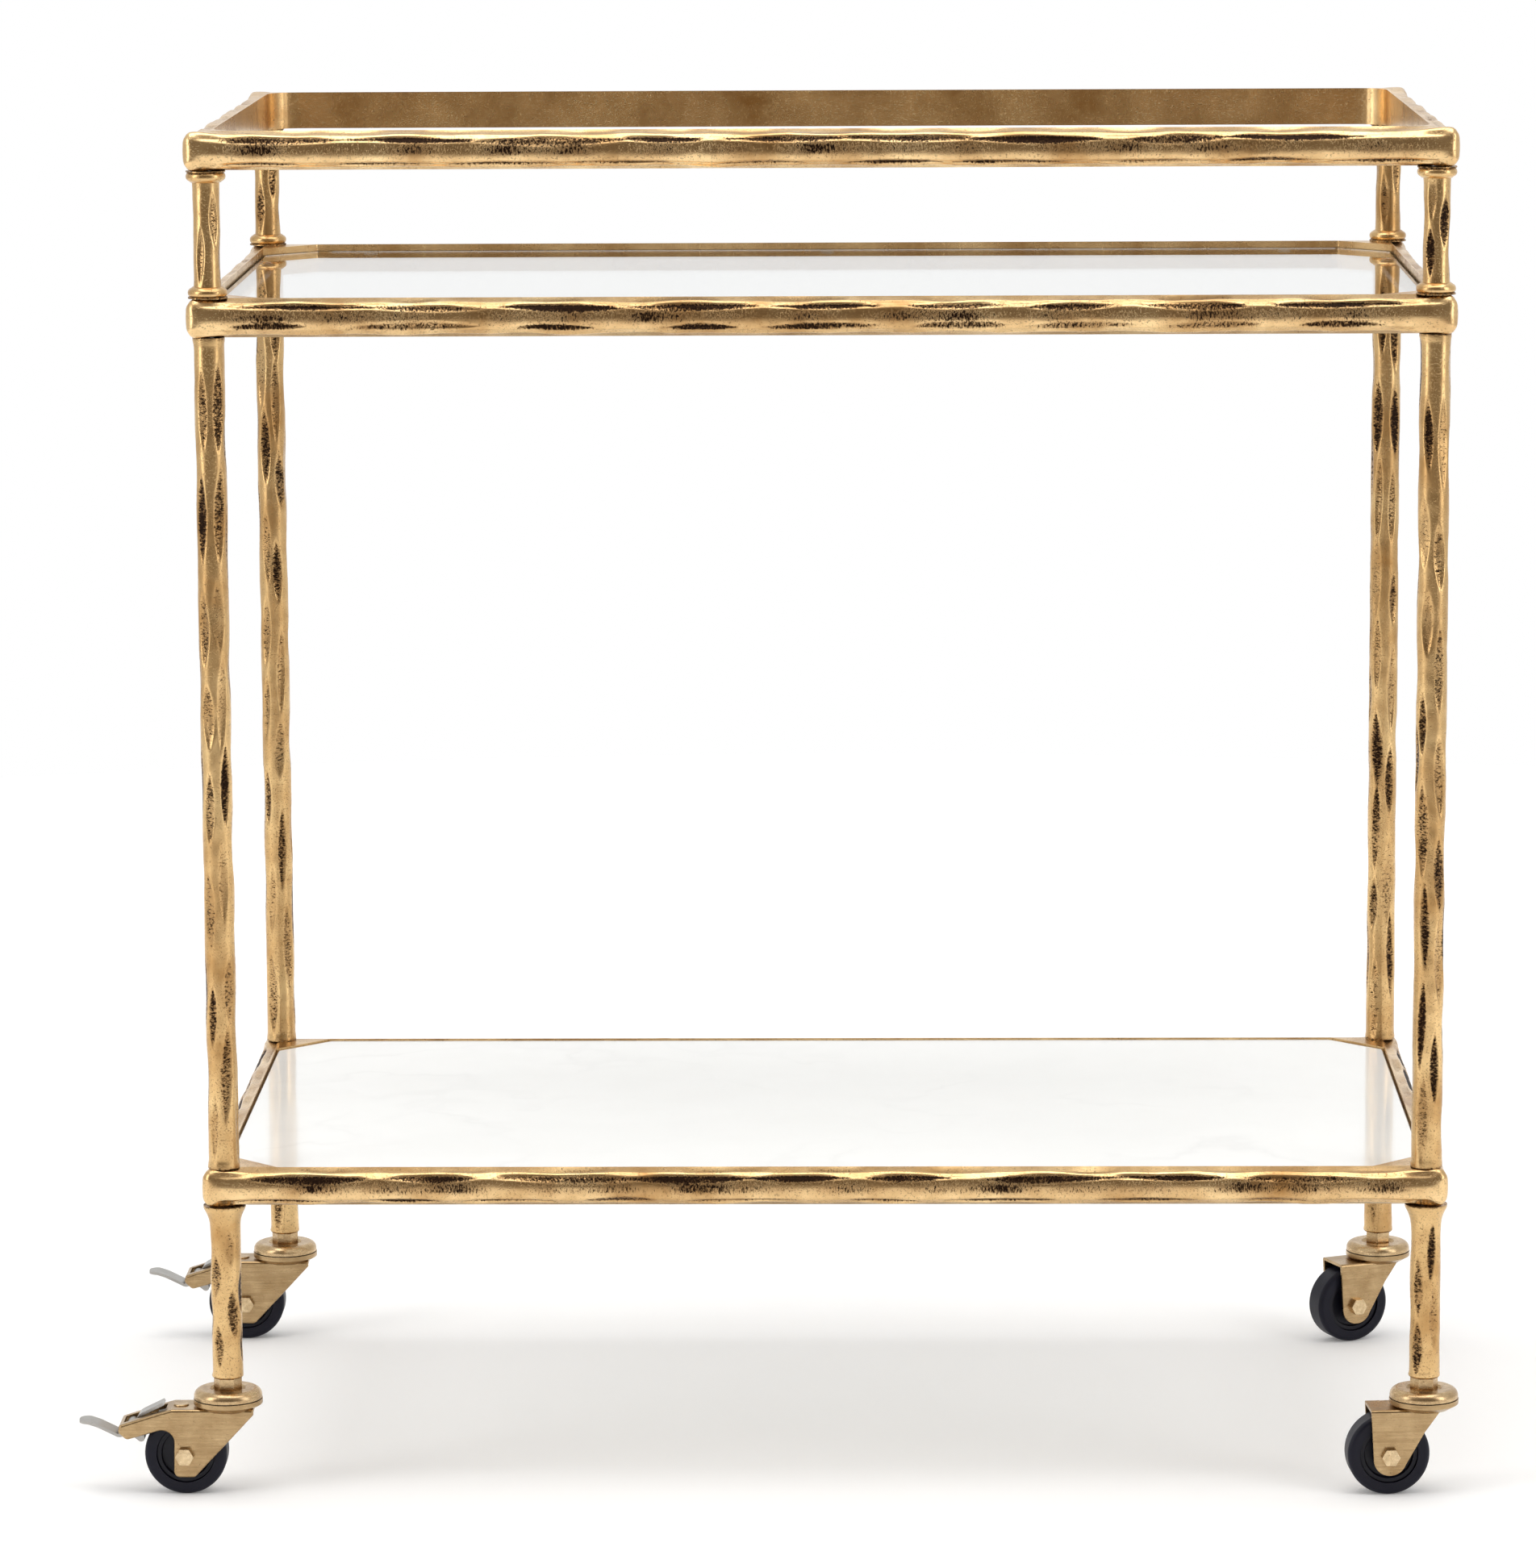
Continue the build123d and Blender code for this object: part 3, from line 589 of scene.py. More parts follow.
# %% Sizes of the rings
RAIL_WALL = 16.0 * MM
RAIL_CORNER = 20.0 * MM
SHELF_WALL = 12.5 * MM
SHELF_CLIP = 33.0 * MM
OUTER_CORNER = 7.5 * MM
EDGE_ROUND = 6.0 * MM
GRID_ALONG = 2.2 * MM
GRID_ACROSS = 1.0 * MM
LEDGE_WIDTH = 12.0 * MM
LEDGE_THICKNESS = 4.0 * MM
PAD_HEIGHT = 1.5 * MM


# %% Corner block, drawn out to both middles
def open_middle(piece):
    """Removes the faces on the mirror planes, so that the mirrored quarters join in one skin."""
    pick(piece, "FACE", lambda centre, normal: min(abs(centre.x), abs(centre.y)) < TOUCH)
    bpy.ops.mesh.delete(type="FACE")


def corner_block(box, wall, corner, steps):
    """A quarter of a ring.  The inner edge of its block is cut off over a length of corner."""
    low, high = box
    side = wall + corner
    bpy.ops.mesh.primitive_cube_add(
        size=1, scale=(side, side, high.z - low.z),
        location=(high.x - side / 2, high.y - side / 2, (high.z + low.z) / 2))
    block = bpy.context.object
    place_in_mesh(block)
    inner = Vector((high.x - side, high.y - side))
    edit(block)
    pick(block, "EDGE", lambda a, b: max((a.xy - inner).length, (b.xy - inner).length) < TOUCH)
    bpy.ops.mesh.bevel(offset=corner, segments=steps, profile=0.25, affect="EDGES")
    for shift in (Vector((-inner.x, 0, 0)), Vector((0, -inner.y, 0))):
        axis = "x" if shift.x else "y"
        cut = getattr(inner, axis)
        pick(block, "FACE", lambda centre, normal: abs(getattr(centre, axis) - cut) < TOUCH)
        bpy.ops.mesh.extrude_region_move(TRANSFORM_OT_translate={"value": shift})
    open_middle(block)
    leave_edit()
    return block, inner


def round_outside(block, high, low):
    """Rounds the upright outer edge, and then the long edges at the top and at the bottom."""
    edit(block)
    pick(block, "EDGE", lambda a, b: max((a.xy - high.xy).length, (b.xy - high.xy).length) < TOUCH)
    bpy.ops.mesh.bevel(offset=OUTER_CORNER, segments=6, profile=0.5, affect="EDGES")

    def on_rim(a, b):
        level = abs(a.z - b.z) < TOUCH
        out = all(max(p.x - high.x, p.y - high.y) > -OUTER_CORNER * 0.5 for p in (a, b))
        end = min(abs(a.z - high.z), abs(a.z - low.z)) < TOUCH
        return level and out and end

    pick(block, "EDGE", on_rim)
    bpy.ops.mesh.bevel(offset=EDGE_ROUND, segments=5, profile=0.5, affect="EDGES")
    leave_edit()


# %% Rows of cuts, and the two mirrors
def cut_rows(piece, axis, start, end, pitch):
    """Even cuts straight across the piece, where loop cuts would go."""
    count = max(1, round((end - start) / pitch))
    normal = [0.0, 0.0, 0.0]
    normal["xyz".index(axis)] = 1.0
    edit(piece)
    for step in range(1, count):
        place = [0.0, 0.0, 0.0]
        place["xyz".index(axis)] = start + (end - start) * step / count
        bpy.ops.mesh.select_all(action="SELECT")
        bpy.ops.mesh.bisect(plane_co=place, plane_no=normal)
    leave_edit()


def mirror_ring(piece):
    make_active(piece)
    modifier = piece.modifiers.new("Four corners", "MIRROR")
    modifier.use_axis = (True, True, False)
    modifier.merge_threshold = TOUCH
    bpy.ops.object.modifier_apply(modifier=modifier.name)


def grid_ring(piece, box):
    low, high = box
    flat = EDGE_ROUND + TOUCH
    cut_rows(piece, "z", low.z + flat, high.z - flat, GRID_ACROSS)
    cut_rows(piece, "x", 0.0, high.x - OUTER_CORNER, GRID_ALONG)
    cut_rows(piece, "y", 0.0, high.y - OUTER_CORNER, GRID_ALONG)


# %% Top rail
def top_rail_ring():
    """A ring whose inner corners are round: the cut-off corner's points are pushed onto an arc."""
    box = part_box("top_rail")
    low, high = box
    ring, inner = corner_block(box, RAIL_WALL, RAIL_CORNER, 10)
    points = read_points(ring)
    away = points[:, :2] - np.array(inner)
    reach = np.linalg.norm(away, axis=1)
    cut = (away.min(axis=1) > TOUCH) & (np.abs(away.sum(axis=1) - RAIL_CORNER) < TOUCH)
    points[cut, :2] = np.array(inner) + away[cut] * (RAIL_CORNER / reach[cut])[:, None]
    write_points(ring, points)
    round_outside(ring, high, low)
    grid_ring(ring, box)
    mirror_ring(ring)
    return ring


rail = top_rail_ring()
print("top rail", len(rail.data.vertices), "vertices")


# %% Shelf rings, with the ledge drawn out of the inner wall
def shelf_ring(node, shelf_node):
    """The wall with a clipped inner corner, and a thin ledge under the shelf."""
    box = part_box(node)
    low, high = box
    ledge_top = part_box(shelf_node)[0].z - PAD_HEIGHT
    ledge_bottom = ledge_top - LEDGE_THICKNESS
    ring = corner_block(box, SHELF_WALL, SHELF_CLIP, 1)[0]
    round_outside(ring, high, low)
    edit(ring)
    for height in (ledge_bottom, ledge_top):
        bpy.ops.mesh.select_all(action="SELECT")
        bpy.ops.mesh.bisect(plane_co=(0, 0, height), plane_no=(0, 0, 1))

    def inner_band(centre, normal):
        return normal.x + normal.y < -0.9 and ledge_bottom < centre.z < ledge_top

    pick(ring, "FACE", inner_band)
    bpy.ops.mesh.extrude_region_shrink_fatten(
        TRANSFORM_OT_shrink_fatten={"value": LEDGE_WIDTH, "use_even_offset": True})
    open_middle(ring)
    leave_edit()
    grid_ring(ring, box)
    mirror_ring(ring)
    return ring


shelf_frame = shelf_ring("shelf_frame", "glass_shelf")
base_frame = shelf_ring("base_frame", "marble_shelf")
for ring in (shelf_frame, base_frame):
    print("shelf ring", len(ring.data.vertices), "vertices")


# %% [markdown]
# ### Hammering the rings
#
# The marks are pressed in by moving points inwards along their normals, never outwards, so the
# ring stays inside its own size.  A bar's skin is laid flat by its girth: the distance walked from
# the middle of the outer face, up over the rounded edge and onto the top.  Besides the marks, the
# edges are eased off so that the face bulges, and slow waves make the outline uneven.  Between the
# marks a painted dark band runs along the middle of the face: a painted reflection of the darker
# surroundings in front, stored with the patina.

# %% Girth, ripples and rows of marks
def read_normals(piece):
    normals = np.empty(len(piece.data.vertices) * 3)
    piece.data.vertex_normals.foreach_get("vector", normals)
    return normals.reshape(-1, 3)


def girth(inwards, height, half):
    """Signed distance walked over a bar's skin from the middle of its outer face."""
    flat = half - EDGE_ROUND
    above = np.abs(height) - flat
    angle = np.arctan2(np.clip(above, 0, None), np.clip(EDGE_ROUND - inwards, 1e-9, None))
    round_part = np.where(above > 0, EDGE_ROUND * np.clip(angle, 0, math.pi / 2), 0)
    walked = np.minimum(np.abs(height), flat) + round_part + np.clip(inwards - EDGE_ROUND, 0, None)
    return np.sign(height) * walked


def ramp(values, start, end):
    """0 at start, 1 at end, smooth between."""
    t = np.clip((values - start) / (end - start), 0, 1)
    return t * t * (3 - 2 * t)


def slow_waves(along, draw, lengths):
    """A sum of sines from 0 to 1 with drawn phases."""
    total = sum(np.sin(2 * math.pi * along / length + draw.uniform(0, 6.28)) for length in lengths)
    return 0.5 + 0.5 * total / len(lengths)


def ripples(points, draw, count, wave, height):
    """Fine uneven swellings over a surface, always inwards."""
    total = np.zeros(len(points))
    for _ in range(count):
        direction = np.array([draw.gauss(0, 1) for _ in range(3)])
        direction /= np.linalg.norm(direction)
        size = wave * draw.uniform(0.7, 1.4)
        total += np.cos(points @ direction * 2 * math.pi / size + draw.uniform(0, 6.28))
    return height * (0.5 + 0.5 * np.clip(total / math.sqrt(count) / 1.5, -1, 1))


def mark_row(draw, reach, across, spacing, length, width, deep, stain):
    """Marks at uneven steps along one row, from -reach to reach."""
    marks = []
    place = -reach + spacing * draw.uniform(0.3, 0.7)
    while place < reach - length * 0.3:
        marks.append((place, across + draw.uniform(-1.0, 1.0) * MM, length * draw.uniform(0.7, 1.25),
                      width * draw.uniform(0.8, 1.2), deep * draw.uniform(0.7, 1.1),
                      draw.uniform(-0.03, 0.03), stain * draw.uniform(0.6, 1.1)))
        place += spacing * draw.uniform(0.85, 1.15)
    return marks


print("rows ready")

# %% Press the marks into a ring
PLAIN_CORNER = 21.0 * MM
FACE_CURVE = 21.0 * MM
MOST_EASED = 2.0 * MM
EDGE_WAVE = 1.5 * MM
FACE_WAVE = 0.5 * MM
RING_RIPPLE = 0.22 * MM
# Strength of the painted dark band: a painted reflection of the darker surroundings in front.
PAINTED_BAND_STRENGTH = 0.95


def hammer_side(points, box, wall, low_row, axis, sign, draw):
    """How deep each point sinks on one outer side of a ring, and how much patina and painted dark band it
    gets.
    """
    low, high = box
    reach = high[1 - axis]
    along = points[:, 1 - axis]
    inwards = high[axis] - sign * points[:, axis]
    height = points[:, 2] - (low.z + high.z) / 2
    across = girth(inwards, height, (high.z - low.z) / 2)
    corner = ramp(reach - np.abs(along), PLAIN_CORNER * 0.4, PLAIN_CORNER * 1.6)
    outside = 1 - ramp(inwards, wall - 3 * MM, wall - 0.5 * MM)
    skin = corner * outside
    rows = []
    for place, spacing, length, width, deep, stain in (
            (7.4, 78, 84, 8.0, 1.5, 1.25), (low_row, 76, 66, 6.4, 1.3, 0.95),
            (17.5, 80, 60, 6.0, 0.9, 0.5), (-17.5, 80, 60, 6.0, 0.9, 0.5)):
        rows += mark_row(draw, reach - PLAIN_CORNER, place * MM, spacing * MM, length * MM,
                         width * MM, deep * MM, stain)
    pressed, stained = hammer_depth(along, across, rows)
    eased = np.minimum(across ** 2 / (2 * FACE_CURVE), MOST_EASED)
    eased *= 1 - 0.6 * ramp(np.abs(across), 11 * MM, 15.5 * MM)
    upper = slow_waves(along, draw, (0.081, 0.117, 0.046)) * ramp(across, 5 * MM, 14 * MM)
    lower = slow_waves(along, draw, (0.076, 0.128, 0.051)) * ramp(-across, 5 * MM, 14 * MM)
    waves = EDGE_WAVE * (upper + lower) + slow_waves(along, draw, (0.092, 0.061)) * FACE_WAVE
    # Painted dark band along the middle of the outer face, standing for the reflection of the dark front.
    painted_band = PAINTED_BAND_STRENGTH * slow_waves(along, draw, (0.19, 0.083, 0.047))
    painted_band = painted_band * (1 - ramp(np.abs(across - MM), MM, 6 * MM))
    near_end = ramp(reach - np.abs(along), 2 * MM, 14 * MM)
    rounded = outside * near_end * (1 - ramp(np.abs(across), 9 * MM, 13 * MM))
    depth = skin * (pressed + waves) + np.maximum(skin, rounded) * eased
    return depth, skin * np.maximum(stained, painted_band)


def hammer_ring(piece, box, wall, low_row, seed):
    """Hammers the four outer sides of a ring, from its outer face round to its top and bottom."""
    points = read_points(piece)
    normals = read_normals(piece)
    depth = np.zeros(len(points))
    patina = np.zeros(len(points))
    for side, (axis, sign) in enumerate(((1, -1), (1, 1), (0, -1), (0, 1))):
        sunk, stained = hammer_side(points, box, wall, low_row, axis, sign, random.Random(seed + side))
        depth = np.maximum(depth, sunk)
        patina = np.maximum(patina, stained)
    inside = ripples(points, random.Random(seed + 9), 24, 14 * MM, RING_RIPPLE)
    points -= normals * (depth + inside * ramp(depth, 0, 0.4 * MM))[:, None]
    write_points(piece, points)
    # On a ring the patina attribute holds the patina of the marks and the painted dark band.
    store_patina(piece, patina)
    smooth(piece, 76)


for piece, node, wall, low_row, seed in ((rail, "top_rail", RAIL_WALL, -9.0, 11),
                                         (shelf_frame, "shelf_frame", SHELF_WALL, -5.5, 23),
                                         (base_frame, "base_frame", SHELF_WALL, -8.5, 37)):
    hammer_ring(piece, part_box(node), wall, low_row, seed)
    dress(piece, node + "_hammered", "cart_frame", RAIL_BRASS, "antique_brass", node)
    print("hammered", piece.name)

# %% [markdown]
# ## Posts and legs
#
# A post or a leg is a round bar that was hammered all the way round, in six columns of long scoops
# that sit between each other like scales.  What is left between two scoops is a narrow, winding,
# bright ridge.  One bar of each kind is modelled as a cylinder with even cuts, then copied into
# its four corners, and each copy is hammered with its own draw.

# %% Round bar with an even grid
AROUND = 72
UP = 2.0 * MM
COLUMNS = 6
BAR_STAINS = (0.35, 0.5, 0.65, 0.8, 0.95)
DARK_ENDS = 0.6
BAR_SWAY = 0.30 * MM
BAR_RIPPLE = 0.15 * MM


def round_bar(node):
    low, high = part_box(node)
    radius = (high.x - low.x) / 2
    bpy.ops.mesh.primitive_cylinder_add(
        vertices=AROUND, radius=radius, depth=high.z - low.z, end_fill_type="NGON",
        location=((low + high) / 2))
    bar = bpy.context.object
    place_in_mesh(bar)
    cut_rows(bar, "z", low.z, high.z, UP)
    return bar


def copy_to(piece, shift):
    """A copy with its own mesh, moved in its mesh."""
    other = piece.copy()
    other.data = piece.data.copy()
    bpy.context.collection.objects.link(other)
    write_points(other, read_points(other) + np.array(shift))
    return other


def hammer_bar(piece, centre, radius, seed, length, deep, keep):
    """Scoops in columns round an upright bar, which stays plain over the two lengths in keep."""
    draw = random.Random(seed)
    points = read_points(piece)
    normals = read_normals(piece)
    low, high = points[:, 2].min(), points[:, 2].max()
    along = points[:, 2]
    turn = 2 * math.pi * radius
    across = np.arctan2(points[:, 1] - centre[1], points[:, 0] - centre[0]) * radius
    marks = []
    for column in range(COLUMNS):
        spacing = length * 1.12
        place = low + keep[0] + spacing * (0.45 + 0.5 * (column % 2)) + draw.uniform(-0.1, 0.1) * length
        while place < high - keep[1] - length * 0.25:
            marks.append((place, turn * (column + draw.uniform(-0.2, 0.2)) / COLUMNS,
                          length * draw.uniform(0.7, 1.25), turn / COLUMNS * draw.uniform(0.65, 1.05),
                          deep * draw.uniform(0.45, 1.1), draw.uniform(-0.05, 0.05),
                          draw.choice(BAR_STAINS)))
            place += spacing * draw.uniform(0.85, 1.2)
    pressed, stained = hammer_depth(along, across, marks, turn)
    ends = ramp(along - low, keep[0] * 0.4, keep[0] * 1.3)
    ends = ends * ramp(high - along, keep[1] * 0.4, keep[1] * 1.3)
    bend = sum(np.cos(across / radius + draw.uniform(0, 6.28)) * slow_waves(along, draw, (wave,))
               for wave in (0.13, 0.21))
    sway = BAR_SWAY * (1 + 0.5 * bend)
    depth = ends * (pressed + sway + ripples(points, draw, 20, 12 * MM, BAR_RIPPLE))
    sides = np.abs(normals[:, 2]) < 0.9
    points[sides] -= (normals * depth[:, None])[sides]
    write_points(piece, points)
    # The ends of each bar, where it meets the next part, are darker over the last 1.6 mm.
    from_end = np.minimum(along - low, high - along)
    rim = DARK_ENDS * (1 - ramp(from_end, 0.2 * MM, 1.6 * MM))
    store_patina(piece, np.maximum(ends * stained, rim))
    smooth(piece, 60)


print("bars ready")

# %% Upper posts and legs
def centre_of(node):
    low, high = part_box(node)
    return (low + high) / 2


def four_bars(kind, first, radius, seed, length, deep, keep):
    """Copies the front left bar into the four corners, and hammers each copy by its own draw."""
    for number, corner in enumerate(CORNERS):
        node = f"{kind}_{corner}"
        bar = copy_to(first, centre_of(node) - centre_of(kind + "_front_left"))
        hammer_bar(bar, centre_of(node), radius, seed + number, length, deep, keep)
        dress(bar, node + "_hammered", "cart_frame", LEG_BRASS, "antique_brass", node)
    bpy.data.objects.remove(first)
    print("hammered four of", kind)


for kind, length, deep, keep, seed in (("upper_post", 34 * MM, 1.2 * MM, (9 * MM, 9 * MM), 100),
                                       ("leg", 52 * MM, 1.35 * MM, (4 * MM, 4 * MM), 200)):
    low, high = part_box(kind + "_front_left")
    four_bars(kind, round_bar(kind + "_front_left"), (high.x - low.x) / 2, seed, length, deep, keep)

# %% Lower legs, with the flare under the base ring
FLARE = 12.0 * MM
LIP = 2.0 * MM
LEG_RADIUS = 9.75 * MM
FOOT_ROUND = 1.4 * MM


def flared_bar(node):
    """A round bar of the leg's radius whose top rows are drawn out into a bell."""
    low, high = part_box(node)
    bell = (high.x - low.x) / 2
    centre = (low + high) / 2
    bpy.ops.mesh.primitive_cylinder_add(
        vertices=AROUND, radius=LEG_RADIUS, depth=high.z - low.z, end_fill_type="NGON", location=centre)
    bar = bpy.context.object
    place_in_mesh(bar)
    edit(bar)
    pick(bar, "EDGE", lambda a, b: abs(a.z - low.z) < TOUCH and abs(b.z - low.z) < TOUCH)
    bpy.ops.mesh.bevel(offset=FOOT_ROUND, segments=3, affect="EDGES")
    leave_edit()
    cut_rows(bar, "z", low.z + 2 * MM, high.z, 1.5 * MM)
    points = read_points(bar)
    climb = np.clip((points[:, 2] - (high.z - FLARE)) / (FLARE - LIP), 0, 1)
    grow = 1 + (bell / LEG_RADIUS - 1) * climb ** 2
    points[:, :2] = np.array(centre.xy) + (points[:, :2] - np.array(centre.xy)) * grow[:, None]
    write_points(bar, points)
    return bar


four_bars("lower_leg", flared_bar("lower_leg_front_left"), LEG_RADIUS, 300, 34 * MM, 1.1 * MM,
          (3 * MM, 12 * MM))

# %% Collars: a bead ring spun round its post
COLLAR_FOOT_DARKENING = 0.55
BEAD = ((8.45, 7.0), (9.1, 6.95), (9.9, 6.3), (10.9, 5.7), (11.7, 4.8), (12.0, 3.6), (11.8, 2.3),
        (11.2, 1.4), (10.9, 1.15), (11.6, 0.95), (11.9, 0.7), (11.9, 0.0), (8.45, 0.0))


def spin_section(name, section, centre, steps):
    """A closed half section of (radius, height) points in millimetres, spun round an upright axis."""
    mesh = bpy.data.meshes.new(name)
    points = [(centre[0] + radius * MM, centre[1], centre[2] + height * MM) for radius, height in section]
    rounds = [(point, (point + 1) % len(points)) for point in range(len(points))]
    mesh.from_pydata(points, rounds, [])
    piece = bpy.data.objects.new(name, mesh)
    bpy.context.collection.objects.link(piece)
    edit(piece)
    bpy.ops.mesh.select_all(action="SELECT")
    bpy.ops.mesh.spin(steps=steps, angle=2 * math.pi, center=centre, axis=(0, 0, 1))
    bpy.ops.mesh.select_all(action="SELECT")
    bpy.ops.mesh.remove_doubles(threshold=0.01 * MM)
    bpy.ops.mesh.normals_make_consistent(inside=False)
    leave_edit()
    return piece


def join(pieces):
    make_active(pieces[0])
    for piece in pieces:
        piece.select_set(True)
    bpy.ops.object.join()
    return pieces[0]


beads = []
for corner in CORNERS:
    low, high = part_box(f"upper_post_{corner}")
    middle = (low + high) / 2
    for foot, way in ((low.z, 1), (high.z, -1)):
        section = [(radius, way * height) for radius, height in BEAD]
        beads.append(spin_section("bead", section, (middle.x, middle.y, foot), 48))
collars = join(beads)
heights = read_points(collars)[:, 2]
feet = [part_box("upper_post_front_left")[side].z for side in (0, 1)]
from_foot = np.minimum(abs(heights - feet[0]), abs(heights - feet[1]))
# The collars are darker within about 2 mm of their feet, where they sit on the rings.
store_patina(collars, COLLAR_FOOT_DARKENING * (1 - ramp(from_foot, 0.9 * MM, 2.2 * MM)))
smooth(collars, 40)
dress(collars, "post_collars_turned", "cart_frame", LEG_BRASS, "antique_brass", "post_collars")
print("eight collars", len(collars.data.vertices), "vertices")

# %% [markdown]
# ## Shelves and casters
#
# The glass, the marble, the tyres and the hidden screws, balls, pins and springs have exactly the
# right shape in the working model already.  They stay as they are and only get their finishes.

# %% Finishes on the working model's own pieces
def finish_node(name, material):
    piece = nodes[name]
    if not piece.material_slots:
        piece.data.materials.append(material)
    for place in piece.material_slots:
        place.material = material


finish_node("glass_shelf", GLASS)
finish_node("marble_shelf", MARBLE)
for name in ("post_plugs", "leg_plugs", "frame_studs", "top_studs"):
    finish_node(name, SCREW_STEEL)
for corner in CORNERS:
    finish_node(f"caster_balls_{corner}", SCREW_STEEL)
    finish_node(f"tyre_{corner}", TYRE_BLACK)
for corner in BRAKED:
    finish_node(f"brake_pin_{corner}", PEDAL_STEEL)
    finish_node(f"brake_spring_{corner}", PEDAL_STEEL)
print("finished the shelves, screws, balls, tyres, pins and springs")

# %% [markdown]
# ### Soft edges on stamped and turned metal
#
# No stamped sheet has a perfectly sharp edge.  The tumbled edge is what catches the light, so the
# pieces that show get a copy whose triangles are merged into whole faces and whose sharp edges
# carry a narrow bevel.  Weighted normals keep the wide faces flat beside it.

# %% Softened copies of the caster pieces
def soften(node, width, material, slot):
    """Stands a copy with bevelled edges of a given width in for a node."""
    piece = bpy.data.objects.new(node + "_softened", nodes[node].data.copy())
    bpy.context.collection.objects.link(piece)
    edit(piece)
    bpy.ops.mesh.select_all(action="SELECT")
    bpy.ops.mesh.remove_doubles(threshold=0.002 * MM)
    bpy.ops.mesh.dissolve_limited(angle_limit=math.radians(0.6))
    leave_edit()
    bevel = piece.modifiers.new("Tumbled edges", "BEVEL")
    bevel.limit_method = "ANGLE"
    bevel.angle_limit = math.radians(32)
    bevel.width = width
    bevel.segments = 2
    bpy.ops.object.modifier_apply(modifier=bevel.name)
    smooth(piece, 38)
    flatten = piece.modifiers.new("Flat faces", "WEIGHTED_NORMAL")
    flatten.weight = 100
    flatten.keep_sharp = True
    bpy.ops.object.modifier_apply(modifier=flatten.name)
    return dress(piece, node + "_softened", nodes[node]["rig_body"], material, slot, node)


count = 0
for corner in CORNERS:
    for kind, width, material, slot in (("caster_stem", 0.35, CUP_BRASS, "satin_brass"),
                                        ("caster_cup", 0.20, CUP_BRASS, "satin_brass"),
                                        ("caster_fork", 0.40, FORK_BRASS, "satin_brass"),
                                        ("caster_axle", 0.60, BOLT_BRASS, "satin_brass"),
                                        ("wheel_hub", 0.50, HUB_BLACK, "black_plastic")):
        soften(f"{kind}_{corner}", width * MM, material, slot)
        count += 1
for corner in BRAKED:
    soften(f"brake_pedal_{corner}", 0.35 * MM, PEDAL_STEEL, "bright_steel")
    soften(f"brake_rivet_{corner}", 0.35 * MM, CUP_BRASS, "satin_brass")
    count += 2
print("softened", count, "pieces")

# %% Bumper pads, a hair clear of the shelves so that they show through the glass
pads = soften("shelf_pads", 0.20 * MM, BUMPER, "clear_rubber")
points = read_points(pads)
for shelf in ("glass_shelf", "marble_shelf"):
    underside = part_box(shelf)[0].z
    points[np.abs(points[:, 2] - underside) < TOUCH, 2] = underside - 2 * TOUCH
write_points(pads, points)
print("pads", len(points), "vertices")

# %% [markdown]
# ## Floor, light and camera
#
# Polished metal only looks like metal when it has something to mirror.  The surroundings are
# bright above, below and to both sides, and darker straight in front, which is what draws the
# dark band along the middle of every bar.  Seen directly, or through the glass, they are white.

# %% Floor, which glows a little more towards its rim and so fades into the white
def smooth_range(tree, value, start, end, low, high):
    """A value from start to end turned into one from low to high, smooth between."""
    node = add_node(tree, "ShaderNodeMapRange", {"From Min": start, "From Max": end,
                                                 "To Min": low, "To Max": high},
                    interpolation_type="SMOOTHSTEP")
    tree.links.new(value, node.inputs["Value"])
    return node.outputs["Result"]


bpy.ops.mesh.primitive_circle_add(vertices=96, radius=2.7, fill_type="NGON", location=(0, 0, 0))
floor = bpy.context.object
floor.name = "floor"
floor_finish, floor_tree, floor_shader = start_material("Pale floor", Roughness=0.9)
floor_shader.inputs["Base Color"].default_value = (0.93, 0.93, 0.93, 1)
floor_shader.inputs["Specular IOR Level"].default_value = 0.1
floor_shader.inputs["Emission Strength"].default_value = 1.0
floor_place = add_node(floor_tree, "ShaderNodeTexCoord")
from_middle = add_node(floor_tree, "ShaderNodeVectorMath", operation="LENGTH")
floor_tree.links.new(floor_place.outputs["Object"], from_middle.inputs[0])
lift = smooth_range(floor_tree, from_middle.outputs["Value"], 0.9, 2.4, 0.10, 0.40)
floor_tree.links.new(lift, floor_shader.inputs["Emission Color"])
floor.data.materials.append(floor_finish)

# %% Surroundings
TO_FRONT = (0.0, -0.995, 0.10)
WARM_DARK = (1.0, 0.80, 0.60, 1)
WHITE = (1.0, 1.0, 1.0, 1)
SKY_STRENGTH = 0.74
world = bpy.data.worlds.new("Studio")
scene.world = world
world.use_nodes = True
sky = world.node_tree
sky.nodes.clear()
way = add_node(sky, "ShaderNodeTexCoord")
front = add_node(sky, "ShaderNodeVectorMath", operation="DOT_PRODUCT")
sky.links.new(way.outputs["Generated"], front.inputs[0])
front.inputs[1].default_value = TO_FRONT
clear_of_front = smooth_range(sky, front.outputs["Value"], 0.88, 0.36, 0.29, 1.0)
behind = smooth_range(sky, front.outputs["Value"], -0.35, -0.9, 0.0, 0.20)
glow = add_node(sky, "ShaderNodeBackground")
tinted = blend_colours(sky, clear_of_front, WARM_DARK, WHITE)
sky.links.new(tinted, glow.inputs["Color"])
sky.links.new(maths(sky, "MULTIPLY_ADD", clear_of_front, SKY_STRENGTH, behind), glow.inputs["Strength"])
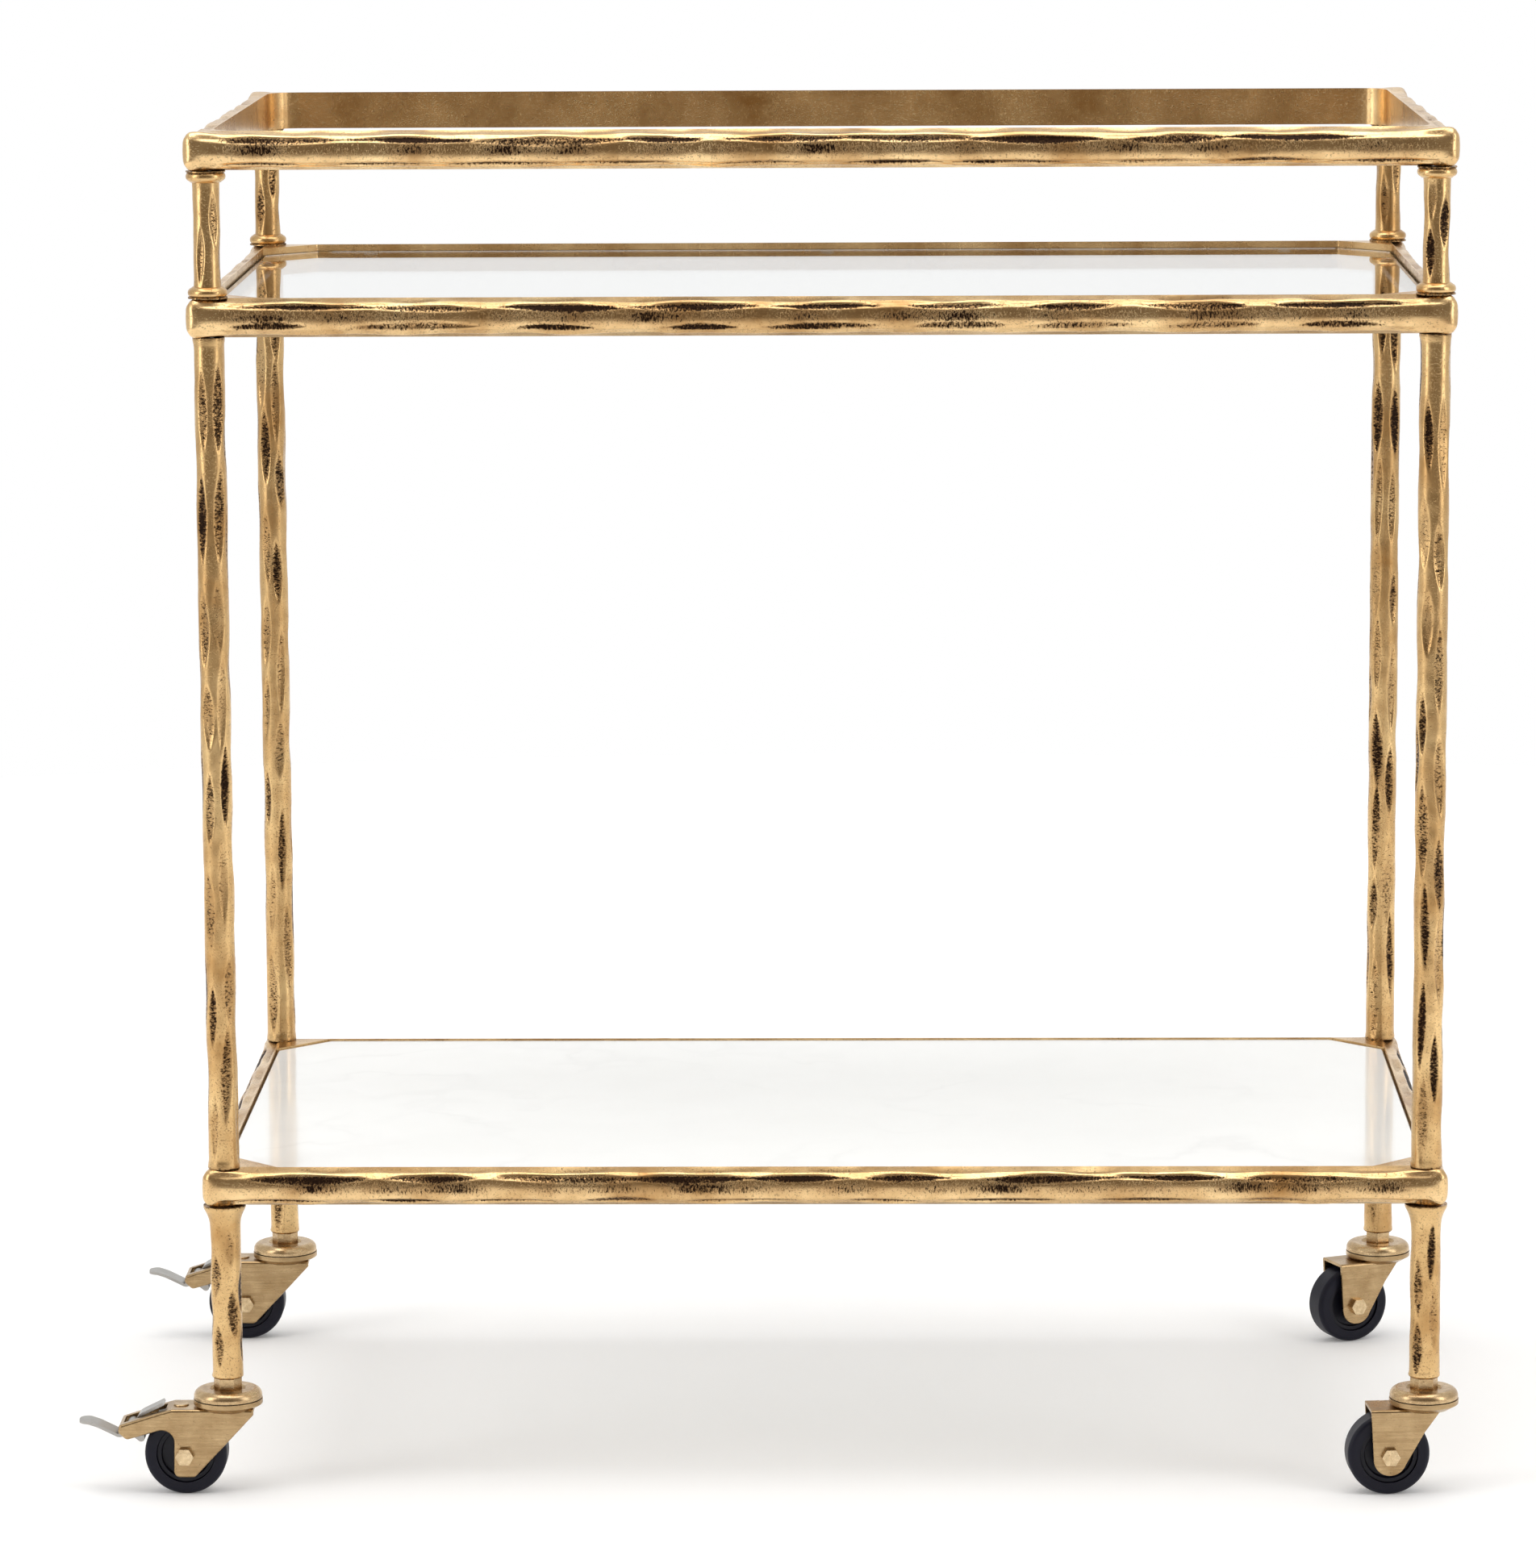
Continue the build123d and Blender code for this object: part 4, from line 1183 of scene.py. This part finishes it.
white = add_node(sky, "ShaderNodeBackground", {"Strength": 1.0, "Color": WHITE})
seen = add_node(sky, "ShaderNodeLightPath")
pick_sky = add_node(sky, "ShaderNodeMixShader")
direct = maths(sky, "MAXIMUM", seen.outputs["Is Camera Ray"], seen.outputs["Is Transmission Ray"])
sky.links.new(direct, pick_sky.inputs[0])
sky.links.new(glow.outputs[0], pick_sky.inputs[1])
sky.links.new(white.outputs[0], pick_sky.inputs[2])
sky_end = add_node(sky, "ShaderNodeOutputWorld")
sky.links.new(pick_sky.outputs[0], sky_end.inputs["Surface"])


# %% Soft boxes
def soft_box(name, place, target, width, height, power):
    """A lamp of a given size in metres and power in watts, turned to face a target."""
    light = bpy.data.lights.new(name, "AREA")
    light.shape = "RECTANGLE"
    light.size = width
    light.size_y = height
    light.energy = power
    lamp = bpy.data.objects.new(name, light)
    scene.collection.objects.link(lamp)
    lamp.location = place
    lamp.rotation_euler = (Vector(target) - Vector(place)).to_track_quat("-Z", "Y").to_euler()


soft_box("overhead", (0.0, -0.2, 2.6), (0, 0, 0), 2.6, 1.8, 35)
soft_box("left", (-2.2, -1.2, 1.3), (0, 0, 0.5), 0.9, 2.0, 14)
soft_box("right", (2.2, -1.2, 1.3), (0, 0, 0.5), 0.9, 2.0, 12)
print("lights set")

# %% Camera, with its angles in degrees: turned left, tipped down and rolled
EYE_PLACE = (0.0429, -4.1973, 1.0949)
EYE_ANGLES = (1.089, -9.272, 0.296)
eye = bpy.data.cameras.new("camera")
eye.lens = 153.44
eye.sensor_width = 36.0
camera = bpy.data.objects.new("camera", eye)
scene.collection.objects.link(camera)
camera.location = EYE_PLACE
yaw, pitch, roll = (math.radians(angle) for angle in EYE_ANGLES)
turn = Matrix.Rotation(yaw, 3, "Z") @ Matrix.Rotation(pitch, 3, "X") @ Matrix.Rotation(roll, 3, "Y")
camera.rotation_euler = (turn @ Matrix.Rotation(math.pi / 2, 3, "X")).to_euler()
scene.camera = camera
scene.view_settings.view_transform = "Standard"
print("camera at", tuple(camera.location))
